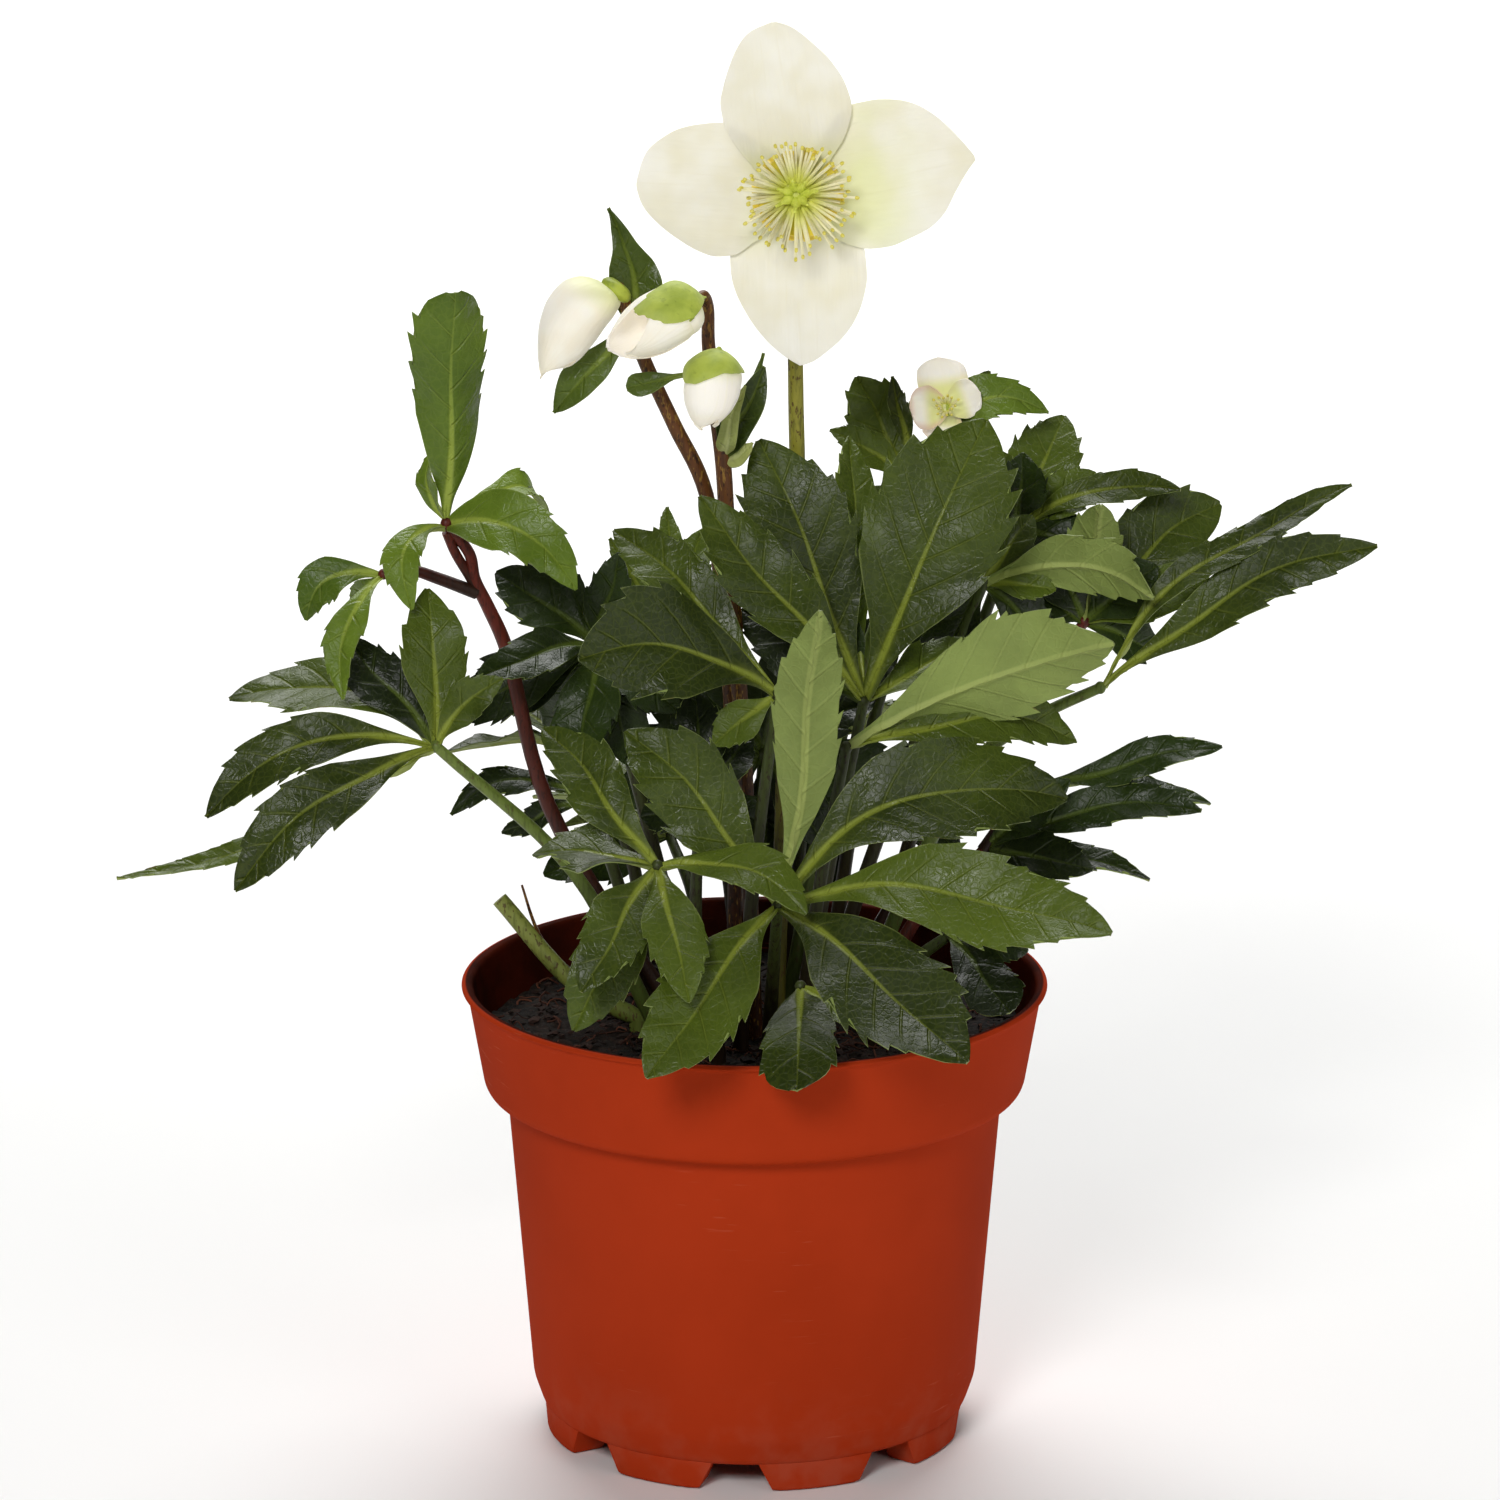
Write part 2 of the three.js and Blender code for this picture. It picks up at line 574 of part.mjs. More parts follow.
function hood({ neck, tip, width }, { from, to, reach }) {
  const length = vector(neck).distanceTo(vector(tip));
  const frame = budFrame(neck, tip);
  const stations = BUD_OUTLINE.filter(([station]) => station <= reach);
  const clear = HOOD.gap + TEPAL_THICKNESS;
  const rows = stations.map(([station, share], row) => {
    const spread = (to - from) * (row === stations.length - 1 ? HOOD.lastRow : 1);
    const behind = row === 0 ? clear : 0;
    return Array.from({ length: HOOD.columns + 1 }, (_, k) => {
      const angle = THREE.MathUtils.degToRad((from + to) / 2 + spread * (k / HOOD.columns - 0.5));
      const radius = clear + Math.max((share * width * foldAt(angle, station)) / 2, HOOD.narrowest);
      return new THREE.Vector3(radius * Math.cos(angle), station * length - behind, radius * Math.sin(angle))
        .applyMatrix4(frame);
    });
  });
  return sheet(rows, TEPAL_THICKNESS);
}

const BUDS = {
  left: { neck: [-33.1, -0.7, 262.1], tip: [-46, -5, 243], width: 15.2 },
  middle: { neck: [-12, -7, 259.5], tip: [-32, -14, 251], width: 15.6 },
  low: { neck: [-9.5, -13, 250], tip: [-11, -14, 233], width: 12.4 },
};

// A flower stem with its side stalks and its leafy bracts, which leave from points on its own line.
function leafyStem({ hole, through, radius, sideStalk, bracts }) {
  const parts = [stem(hole, through, radius)];
  parts.push(...bracts.map(({ from, row }, index) => blade(from, row, index)));
  if (sideStalk) parts.push(tube(sideStalk.points.map(vector), sideStalk.radius));
  return union(parts);
}

const FLOWER_STEMS = {
  flower_stem: {
    hole: [5, 3], radius: 1.7, material: MATERIAL.flowerStem, bracts: [],
    through: [
      [7, 6, 130], [9, 9, 180], [11, 9, 214], [10.6, 6, 235], [10, 1, 257], [9.2, -3, 274], [9, -4.4, 282],
    ],
  },
  bud_stem_left: {
    hole: [-5, 5], radius: 1.55, material: MATERIAL.budStem,
    through: [
      [-4, 6, 150], [-9, 6, 214], [-16, 5, 230], [-22.5, 4, 243], [-26.6, 3.4, 252], [-28.8, 3, 260],
      [-31, 1.6, 263.6],
    ],
    bracts: [
      { from: [-26.6, 3.4, 252], row: [[-32, 8, 278], 10, 2, 1, VIEWER] },
      { from: [-26.6, 3.4, 252], row: [[-44, 0, 234], 8, 4, 0, VIEWER] },
    ],
  },
  bud_stem_right: {
    hole: [0, -5], radius: 1.7, material: MATERIAL.budStem,
    through: [
      [-2, -3, 150], [-6, 0, 208], [-7, 0, 224], [-8.4, 0, 236], [-9, 0, 250], [-8.4, -2, 260],
      [-9.8, -5, 262],
    ],
    sideStalk: {
      radius: 0.9, points: [[-7, 0, 224], [-4.5, -3, 239], [-5.5, -8, 251], [-7.9, -11, 251.9]],
    },
    bracts: [
      { from: [-7, 0, 224], row: [[2, 6, 246], 7, 2, 0, VIEWER] },
      { from: [-7, 0, 224], row: [[3, -3, 242], 6, 3, 0, VIEWER] },
      { from: [-7, 0, 224], row: [[-27, -4, 239], 5, 6, 0, VIEWER] },
    ],
  },
  young_stem: {
    hole: [8, 22], radius: 1.5, material: MATERIAL.leaf,
    through: [[19, 32, 150], [36, 41, 200], [40, 41, 211], [42.5, 41, 218], [42.8, 39, 225.4]],
    sideStalk: { radius: 1, points: [[36, 41, 200], [35, 42, 208], [35, 43, 213]] },
    bracts: [
      { from: [35, 42, 208], row: [[23, 50, 231], 16, 3, 0, VIEWER] },
      { from: [35, 42, 208], row: [[17, 40, 221], 9, 2, 2, VIEWER] },
      { from: [35, 43, 213], row: [[31, 46, 232], 5, 3, 0, VIEWER] },
      { from: [42.5, 41, 218], row: [[66, 40, 225], 11, 14, -3, [0, -1, 2]] },
      { from: [42.5, 41, 218], row: [[53, 47, 233], 7, 3, 0, VIEWER] },
      { from: [40, 41, 211], row: [[60, 30, 214], 9, 3, -2, VIEWER] },
    ],
  },
};

// The green receptacle behind the open flower is the swollen end of its stem.
function flowerStem(row) {
  const frame = flowerFrame(FLOWER.centre, FLOWER.facing);
  return leafyStem(row).add(placed(turnedDisc(FLOWER.receptacle, 0.6, 8), frame));
}

const YOUNG_BLOOM = {
  centre: [43, 36, 227],
  facing: [0.1, -0.9, 0.42],
  tepals: [
    { angle: 96, length: 9.4, width: 8.6, lift: 1.2 },
    { angle: 18, length: 8, width: 8, lift: 0.4 },
    { angle: 168, length: 6.6, width: 7, lift: 0.2 },
    { angle: 262, length: 8, width: 8, lift: -0.4 },
  ],
};

function youngBloom() {
  const frame = flowerFrame(YOUNG_BLOOM.centre, YOUNG_BLOOM.facing);
  const shape = { dish: 0.16, curl: 3.4, young: true };
  const tuft = Array.from({ length: 4 }, (_, k) => spoke({
    angle: (Math.PI * k) / 2, ring: 0.9, base: 0.4, lean: 0.4, profile: stamenProfile(4.8), sides: 3,
  }));
  return union([
    placed(turnedDisc({ radius: 2, back: -2, front: 1 }, 0.6, 6), frame),
    ...YOUNG_BLOOM.tepals.map((row) => tepal(frame, { ...row, ...shape })),
    ...tuft.map((rod) => placed(rod, frame)),
  ]);
}

// A leaf stalk that was cut off, with a dry brown thread that parts from it below its end.
const CUT_STALK = {
  hole: [-26, 0], radius: 2, through: [[-40, 0, 103], [-57, 3, 122]],
  thread: { radius: 0.6, points: [[-45, 1, 108], [-49, 2, 116], [-52, 4, 125]] },
};

function cutStalk({ hole, radius, through, thread }) {
  return stem(hole, through, radius).add(tube(thread.points.map(vector), thread.radius));
}

// ---------------------------------------------------------------- pot and soil

function lathe(profile) {
  const points = profile.map(([radius, height]) => new THREE.Vector2(radius, height));
  return toSolid(new THREE.LatheGeometry(points, POT_SIDES).rotateX(Math.PI / 2));
}

const innerWall = {
  floor: FLOOR.underside + FLOOR.thickness,
  bodyBottom: BODY.radiusBottom - WALL,
  bodyTop: BODY.radiusTop - WALL,
  collarBottom: COLLAR.radiusBottom - WALL,
  collarTop: COLLAR.radiusTop - WALL,
};

function foot(centreAngle) {
  const sunk = 0.8;
  const geometry = new THREE.BoxGeometry(1, 1, 1, 3, 1, 1);
  const position = geometry.attributes.position;
  for (let i = 0; i < position.count; i += 1) {
    const top = position.getZ(i) > 0;
    const spread = top ? FEET.topAngle : FEET.bottomAngle;
    const angle = THREE.MathUtils.degToRad(centreAngle - 90 + position.getX(i) * spread);
    const radius = position.getY(i) > 0 ? FEET.inner : FEET.outer;
    position.setXYZ(i, radius * Math.cos(angle), radius * Math.sin(angle), top ? FLOOR.underside + sunk : 0);
  }
  return toSolid(geometry);
}

function drainHole(angle) {
  const hole = new THREE.CylinderGeometry(DRAIN.radius, DRAIN.radius, 3 * FLOOR.thickness, DRAIN.sides);
  const height = FLOOR.underside + FLOOR.thickness / 2;
  hole.rotateX(Math.PI / 2).translate(DRAIN.ring * Math.cos(angle), DRAIN.ring * Math.sin(angle), height);
  return toSolid(hole);
}

function pot() {
  const lipBottom = RIM_TOP - LIP_DEPTH;
  const cup = lathe([
    [0, FLOOR.underside], [FLOOR.radius, FLOOR.underside], [FLOOR.radius + 1, FLOOR.underside + 0.8],
    [BODY.radiusBottom, BODY.bottom],
    [BODY.radiusTop, COLLAR.bottom], [COLLAR.radiusBottom - 3 * COLLAR.rounding, COLLAR.bottom + 0.2],
    [COLLAR.radiusBottom - COLLAR.rounding, COLLAR.bottom + COLLAR.rounding],
    [COLLAR.radiusBottom, COLLAR.straightTo],
    [COLLAR.radiusTop, lipBottom], [RIM_RADIUS, lipBottom + 0.4],
    [RIM_RADIUS, RIM_TOP - 0.6], [RIM_RADIUS - 0.6, RIM_TOP], [innerWall.collarTop, RIM_TOP - 0.3],
    [innerWall.collarBottom, COLLAR.straightTo], [innerWall.bodyTop, COLLAR.bottom + 1.4],
    [innerWall.bodyBottom, BODY.bottom], [FLOOR.radius - WALL, innerWall.floor], [0, innerWall.floor],
  ]);
  const step = 360 / FEET.count;
  const angles = Array.from({ length: FEET.count }, (_, k) => FEET.firstCentre + k * step);
  const holes = angles.map((angle) => drainHole(THREE.MathUtils.degToRad(angle + step / 2 - 90)));
  return union([cup, ...angles.map(foot)]).subtract(union(holes));
}

function soil(holes) {
  const random = seededRandom(7);
  const rings = [0, 0.5, 1];
  const wallAt = innerWall.collarBottom + (innerWall.collarTop - innerWall.collarBottom)
    * ((SOIL_TOP - COLLAR.straightTo) / (RIM_TOP - COLLAR.straightTo));
  const topRadius = wallAt - 2 * CLEARANCE;
  const body = lathe([
    [0, innerWall.floor + CLEARANCE], [FLOOR.radius - WALL - 1, innerWall.floor + CLEARANCE],
    [innerWall.bodyBottom - 2 * CLEARANCE, BODY.bottom],
    [innerWall.bodyTop - 2 * CLEARANCE, COLLAR.bottom + 1.7],
    [innerWall.collarBottom - 2 * CLEARANCE, COLLAR.straightTo + 0.8],
    ...rings.toReversed().map((share) => [share * topRadius, SOIL_TOP]),
  ]);
  const rough = toGeometry(body);
  const position = rough.attributes.position;
  for (let i = 0; i < position.count; i += 1) {
    if (position.getZ(i) > SOIL_TOP - 0.01) position.setZ(i, SOIL_TOP - SOIL_GRAIN * random());
  }
  const bores = holes.map(([x, y, radius]) => {
    const height = HOLE.depth + 3;
    const wide = (radius + CLEARANCE) / Math.cos(Math.PI / HOLE.sides);
    const bore = new THREE.CylinderGeometry(wide, wide, height, HOLE.sides);
    return toSolid(bore.rotateX(Math.PI / 2).translate(x, y, SOIL_TOP - HOLE.depth + height / 2));
  });
  return toSolid(rough).subtract(union(bores));
}

// ---------------------------------------------------------------- assembly

const plant = new THREE.Group();
plant.name = 'hellebore';
const holes = [];

plant.add(node('pot', pot(), MATERIAL.pot));

for (const [name, row] of Object.entries(LEAVES)) {
  plant.add(node(name, leaf(row), row.material ?? MATERIAL.leaf));
  holes.push([...row.hole, PETIOLE_RADIUS]);
}

const random = seededRandom(11);
REAR_LEAVES.forEach((row, index) => {
  plant.add(node(`leaf_rear_${index + 1}`, leaf(rearLeaf(row, random)), MATERIAL.leaf));
  holes.push([...row.hole, PETIOLE_RADIUS]);
});

for (const [name, row] of Object.entries(FLOWER_STEMS)) {
  const build = name === 'flower_stem' ? flowerStem : leafyStem;
  plant.add(node(name, build(row), row.material));
  holes.push([...row.hole, row.radius]);
}

plant.add(node('flower_tepals', flowerTepals(), MATERIAL.tepal));
plant.add(node('flower_centre', flowerCentre(), MATERIAL.stamen));
plant.add(node('bud_left', bud(BUDS.left), MATERIAL.tepal));
plant.add(node('bud_middle', bud(BUDS.middle), MATERIAL.tepal));
plant.add(node('bud_middle_hood', hood(BUDS.middle, { from: 20, to: 170, reach: 0.6 }), MATERIAL.cap));
plant.add(node('bud_low', bud(BUDS.low), MATERIAL.tepal));
plant.add(node('bud_low_hood', hood(BUDS.low, { from: 150, to: 390, reach: 0.4 }), MATERIAL.cap));
plant.add(node('young_bloom', youngBloom(), MATERIAL.tepal));

plant.add(node('cut_stalk', cutStalk(CUT_STALK), MATERIAL.youngLeaf));
holes.push([...CUT_STALK.hole, CUT_STALK.radius]);

plant.add(node('soil', soil(holes), MATERIAL.soil));

export default plant;
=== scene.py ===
"""The looks of a Christmas rose in its nursery pot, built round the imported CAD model.

Tables hold millimetres in the row's frame, as the CAD does; MM turns them into Blender's metres.
Each leaf, stem, bud and bloom is one mesh of closed shells that stands for its CAD node.
"""
import math

import bpy
import numpy as np
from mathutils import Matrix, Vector


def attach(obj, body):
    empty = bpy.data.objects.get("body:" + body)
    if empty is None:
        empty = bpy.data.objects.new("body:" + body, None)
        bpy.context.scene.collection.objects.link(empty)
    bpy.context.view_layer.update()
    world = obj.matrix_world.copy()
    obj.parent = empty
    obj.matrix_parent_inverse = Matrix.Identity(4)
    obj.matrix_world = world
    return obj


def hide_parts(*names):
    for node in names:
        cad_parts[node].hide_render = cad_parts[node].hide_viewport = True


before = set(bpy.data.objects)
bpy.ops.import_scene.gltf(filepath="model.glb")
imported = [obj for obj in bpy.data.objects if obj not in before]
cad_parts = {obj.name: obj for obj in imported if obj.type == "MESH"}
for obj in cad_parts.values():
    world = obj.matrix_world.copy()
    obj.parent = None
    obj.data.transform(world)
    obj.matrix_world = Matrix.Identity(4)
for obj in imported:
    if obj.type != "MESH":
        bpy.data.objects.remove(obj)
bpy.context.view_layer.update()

MM = 0.001

# ---------------------------------------------------------------- dimensions shared with the CAD

RIM_RADIUS = 65.5
RIM_TOP = 104.5
LIP_DEPTH = 1.5
WALL = 1.4
COLLAR = {"bottom": 79.5, "straightTo": 81.8, "radiusTop": 64.3, "radiusBottom": 60.6, "rounding": 0.9}
BODY = {"radiusTop": 55.5, "radiusBottom": 50, "bottom": 12.8}
FLOOR = {"underside": 6.2, "radius": 47, "thickness": 1.8}
FEET = {"count": 8, "firstCentre": 17.3, "topAngle": 33, "bottomAngle": 24.6, "inner": 39, "outer": 47.6}
DRAIN = {"radius": 4, "ring": 31}
SOIL_TOP = 93
SOIL_MOUTH = 95
STEM_FOOT = 84
CLEARANCE = 0.3

BLADE_ROOT = 0.6
BLADE_FOLD = 0.16
BLADE_WAVE = 0.1
VEIN_LEAD = 0.35
VEIN_SPACING = 8.5
PETIOLE_RADIUS = 1.8
HUB_RADIUS = 2.9

# Which way a leaflet's upper face looks.
VIEWER = [0, -3, 2]
LEVEL = [0, -1, 4]
AWAY = [0, 3, 1]

# Half-width of a leaflet along its midrib, as shares of the whole: wedge-shaped base, widest past
# the middle. The teeth are cut from it by toothed_edge.
SHORT_EDGE = [
  [0, 0.13], [0.12, 0.24], [0.26, 0.55], [0.42, 0.9], [0.53, 1], [0.66, 0.93], [0.8, 0.7], [0.92, 0.4],
  [1, 0.07],
]
LONG_EDGE = [
  [0, 0.08], [0.1, 0.13], [0.2, 0.27], [0.32, 0.58], [0.44, 0.87], [0.56, 1], [0.68, 0.97], [0.8, 0.79],
  [0.9, 0.5], [0.96, 0.27], [1, 0.05],
]
BLUNT_EDGE = [
  [0, 0.08], [0.08, 0.16], [0.2, 0.45], [0.34, 0.7], [0.5, 0.88], [0.66, 0.97], [0.78, 1], [0.88, 0.9],
  [0.95, 0.65], [1, 0.2],
]
# The same for bracts and other small leaves without teeth.
PLAIN_EDGE = [[0, 0.25], [0.2, 0.6], [0.45, 0.98], [0.6, 1], [0.8, 0.75], [0.93, 0.4], [1, 0.05]]
ACUTE_EDGE = [
  [0, 0.3], [0.12, 0.72], [0.28, 1], [0.45, 0.88], [0.56, 0.66], [0.66, 0.46], [0.82, 0.27], [1, 0.03],
]
SPOON_EDGE = [[0, 0.2], [0.4, 0.24], [0.55, 0.55], [0.72, 0.95], [0.85, 1], [0.95, 0.7], [1, 0.2]]
FULL_EDGE = [[0, 0.3], [0.1, 0.66], [0.24, 0.96], [0.4, 1], [0.6, 0.9], [0.78, 0.66], [0.92, 0.34], [1, 0.04]]

# ---------------------------------------------------------------- the plant's tables

# A leaf stands in its hole in the soil. Its stalk runs through points to the hub, which its leaflets
# leave. A leaflet's row holds its tip, width and upward bow, then, where they aren't the usual, its
# sideways swing (0), the way that its upper face looks (VIEWER), its outline and its fold.
LEAVES = {
  "leaf_front_left": {
    "hole": [-8, -26], "through": [[-12, -34, 120]], "hub": [-21, -50, 145], "leaflets": [
      [[-46, -28, 170], 15, 7], [[-48, -44, 146], 20, 4, 0, LEVEL], [[-37, -74, 124], 15, 6],
      [[-39, -60, 111], 16, 6], [[-14, -78, 123], 14, 6], [[11, -66, 139], 14, 8, -7, [0, -2, 3]],
    ],
  },
  "leaf_front_centre": {
    "hole": [3, -28], "through": [[4, -34, 115]], "hub": [5, -46, 135], "leaflets": [
      [[-23, -84, 108], 22, 9], [[45, -92, 114], 28, 10], [[76, -74, 137], 23, 7, -10],
      [[68, -32, 155], 25, 20, -19], [[-28, -38, 172], 21, 8, 3], [[14, -54, 203], 16, 11, -3, AWAY],
    ],
  },
  "leaf_front_low": {
    "hole": [14, -26], "through": [[13, -34, 106]], "hub": [10, -44, 116], "leaflets": [
      [[9, -80, 104], 18, 6, 0, VIEWER, BLUNT_EDGE], [[32, -66, 112], 10, 5],
    ],
  },
  "leaf_low_right": {
    "hole": [26, -10], "through": [[36, -11, 112]], "hub": [43, -12, 118], "leaflets": [
      [[56, -34, 107], 14, 4, 0, VIEWER, BLUNT_EDGE], [[61, -4, 112], 9, 3],
    ],
  },
  "leaf_mid_left": {
    "hole": [-3, -14], "through": [[0, -18, 135]], "hub": [5, -22, 176], "leaflets": [
      [[-38, -38, 188], 26, 8, 10], [[-31, 2, 207], 15, 8, 2], [[-9, -24, 165], 10, 3],
    ],
  },
  "leaf_inner_left": {
    "hole": [-12, -14], "through": [[-13, -17, 125]], "hub": [-12, -20, 150], "leaflets": [
      [[-13, -12, 174], 14, 4], [[-1, -10, 164], 10, 3], [[-25, -18, 147], 10, 2],
    ],
  },
  "leaf_inner_back": {
    "hole": [-2, 14], "through": [[0, 20, 125]], "hub": [2, 24, 150], "leaflets": [
      [[-24, 20, 163], 15, 5], [[-14, 27, 184], 14, 5], [[13, 28, 186], 14, 5], [[27, 25, 162], 14, 5],
      [[-15, 17, 130], 13, 5], [[16, 17, 130], 13, 5],
    ],
  },
  "leaf_mid_right": {
    "hole": [10, -8], "through": [[16, -9, 130]], "hub": [24, -10, 171], "leaflets": [
      [[51, 6, 231], 33, 11], [[-12, -8, 217], 17, 14, -3], [[1, 4, 227], 26, 7, 1],
      [[49, 6, 181], 11, 4], [[21, 20, 224], 13, 7, -5, [1, -2, 0]],
    ],
  },
  "leaf_right_pale": {
    "hole": [10, -18], "through": [[14, -22, 130]], "hub": [20, -26, 165], "leaflets": [
      [[78, -28, 189], 27, 11, 0, AWAY], [[71, -6, 161], 14, 14, -7],
    ],
  },
  "leaf_right_low": {
    "hole": [24, 2], "through": [[38, 3, 120]], "hub": [51, 4, 133], "leaflets": [
      [[99, -6, 145], 11, 3, -9], [[75, -8, 132], 12, 4], [[88, -2, 128], 10, 3, -1, [0, -1, 2]],
    ],
    "branch": {
      "from": [51, 4, 133], "through": [[57, 6, 141]], "hub": [64, 8, 147], "leaflets": [
        [[104, 4, 157], 10, 4], [[102, 11, 142], 12, 8, 5, LEVEL],
      ],
    },
  },
  "leaf_far_right": {
    "hole": [24, 12], "through": [[38, 12, 130], [50, 12, 152], [64, 11, 162.5]], "hub": [77, 10, 169],
    "leaflets": [
      [[133, 22, 212.5], 9, 23, -1, [-1, -2, 2]], [[137.5, 4, 203], 14, 8, -8],
    ],
  },
  "leaf_right_upper": {
    "hole": [20, 21], "through": [[46, 26, 140]], "hub": [74, 26, 180], "leaflets": [
      [[77, 18, 209], 14, 5, 0, AWAY], [[105, 40, 204], 21, 8, -3], [[102, 24, 192], 12, 4, 2],
    ],
  },
  "leaf_right_mid": {
    "hole": [15, 12], "through": [[32, 14, 145]], "hub": [51, 14, 192], "leaflets": [
      [[88, 0, 192], 17, 11, 7, AWAY], [[67, 12, 191], 8, 3], [[62, 20, 206], 11, 3],
    ],
  },
  "leaf_right_back": {
    "hole": [26, 28], "through": [[42, 33, 150]], "hub": [59, 36, 199], "leaflets": [
      [[70, 50, 222], 17, 5], [[95, 24, 211], 9, 3, -8, [0, -1, 1]], [[77, 40, 211], 12, 4],
      [[82, 54, 207], 8, 5],
    ],
  },
  "leaf_left": {
    "hole": [-22, -6], "through": [[-40, -10, 132]], "hub": [-70, -14, 162], "leaflets": [
      [[-72, -3, 195], 16.5, 6, 0, [1, -4, 0]], [[-116, -4, 170], 20, 13, 9, [0, -1, 2]],
      [[-120, -24, 148.6], 15, 15, 14], [[-113, -38, 136], 16, 21, 4],
      [[-140.5, -18, 133], 7, -8, -4, LEVEL], [[-55, -20, 179], 10, 4, -3],
    ],
  },
  "leaf_top_left": {
    "hole": [-18, 4],
    "through": [[-46, 9, 142], [-55.5, 11, 178.6], [-59.2, 10, 187.6], [-62, 9, 194], [-63, 7, 200.3]],
    "twin": [[-60.6, 9.6, 190], [-63.5, 8.4, 195.5], [-66.2, 6, 201], [-68, 4.4, 206]],
    "hub": [-68, 4, 208], "leaflets": [
      [[-65, -6, 262], 17.5, 1, 0, [1, -6, 0], BLUNT_EDGE, -3.6],
      [[-39, -12, 197], 15, 14, -6, [0, -1, 1], FULL_EDGE], [[-46, 16, 203], 9, 23, -1, [0, -1, 2]],
      [[-75, -12, 192.5], 10, 16, 5, [-1, -2, 1]], [[-71, 10, 223], 7, 7, 0, [-1, -1, 0]],
    ],
    "branch": {
      "from": [-61.6, 9, 191], "through": [[-70, 7, 194.8], [-76, 5, 197.2]], "hub": [-82, 2, 197],
      "leaflets": [
        [[-99, 0, 187], 11, 8, 8, [0, -1, 1]], [[-90, -19, 174], 9, 9, 5, [-1, -3, 0]],
        [[-90, 10, 187], 7, 2],
      ],
    },
  },
  "leaf_back_left": {
    "hole": [-14, 16], "through": [[-24, 18, 135]], "hub": [-35, 21, 176], "leaflets": [
      [[-58, 28, 191], 14, 5], [[-51, 38, 194], 11, 5], [[-61, -8, 176], 12, 6, 0, [0, -1, 1]],
      [[-64, 30, 158], 17, 6], [[-47, 34, 151], 14, 5],
    ],
  },
  "leaf_back_mid": {
    "hole": [-3, 27], "through": [[-8, 38, 130]], "hub": [-20, 50, 170], "leaflets": [
      [[-33, 56, 192], 7, 4], [[-20, 66, 197], 7, 5], [[-12, 60, 193], 11, 4],
      [[-46, 78, 166], 16, 7, 0, [-1, 2, 3]], [[-8, 91, 164], 18, 8, 0, [0, 2, 3]],
    ],
  },
  "leaf_low_left": {
    "hole": [-22, 12], "through": [[-30, 15, 120]], "hub": [-37, 17, 141], "leaflets": [
      [[-68, 12, 139], 9, 11, 7, [0, -1, 2]], [[-57, 22, 132], 7, 4],
    ],
  },
}

# Smaller leaflets deep inside the plant, on the hubs of its leaves. The CAD leaves them out.
# All their faces wear the darker leaf finish, which paints the shade inside the plant.
INNER_LEAFLETS = {
  "leaf_left": [[[-90, -4, 184], 15, 5]],
  "leaf_mid_right": [[[-3, 2, 189], 17, 5], [[13, 2, 194], 12, 3]],
  "leaf_back_left": [
    [[-69, 16, 160], 15, 4], [[-27, 16, 149], 14, 4], [[-39, 4, 153], 16, 4], [[-17, 12, 163], 14, 5],
    [[-30, 14, 199], 11, 5],
  ],
  "leaf_inner_left": [[[2, -13, 144], 11, 3]],
  "leaf_inner_back": [
    [[-32, 31, 138], 16, 4], [[34, 31, 139], 16, 4], [[3, 27, 120], 15, 4], [[-30, 26, 152], 13, 4],
  ],
  "leaf_right_low": [[[70, -2, 151], 11, 3]],
  "leaf_right_mid": [[[40, 18, 168], 14, 4], [[66, 18, 176], 13, 4]],
  "leaf_right_upper": [
    [[90, 22, 194], 15, 3], [[60, 20, 190], 13, 3], [[64, 22, 200], 14, 4], [[90, 30, 172], 13, 4],
  ],
  "leaf_right_back": [[[74, 33, 196], 14, 3], [[46, 36, 220], 14, 4], [[60, 30, 218], 13, 4]],
  "leaf_rear_1": [[[49, 42, 150], 17, 4], [[20, 44, 158], 15, 4]],
  "leaf_rear_2": [[[47, 44, 121], 17, 4], [[16, 44, 112], 16, 4], [[-18, 42, 152], 16, 4]],
  "leaf_rear_3": [[[12, 41, 125], 16, 4], [[-48, 36, 118], 16, 4]],
}

# Leaves at the back, which the photograph doesn't show. "fan" holds the directions of the leaflets from
# the leaf's own azimuth, in degrees.
REAR_LEAVES = [
  {"azimuth": 54, "hole": [17, 33], "reach": 60, "height": 180, "longest": 42, "fan": [-52, -12, 30, 72]},
  {"azimuth": 74, "hole": [8, 34], "reach": 54, "height": 146, "longest": 38, "fan": [-92, -46, 0, 46, 92]},
  {
    "azimuth": 112, "hole": [-14, 32], "reach": 52, "height": 124, "longest": 42,
    "fan": [-92, -46, 0, 46, 92],
  },
  {"azimuth": 138, "hole": [-24, 25], "reach": 54, "height": 148, "longest": 36, "fan": [-80, -40, 0, 42]},
]
REAR_RULE = {
  "shortening": 280, "variation": 0.1, "rise": 0.2, "fall": 0.4, "narrowest": 4, "width": 0.3, "bow": 0.16,
  "upward": 2.5, "kneeOut": 0.7, "kneeUp": 0.6,
}

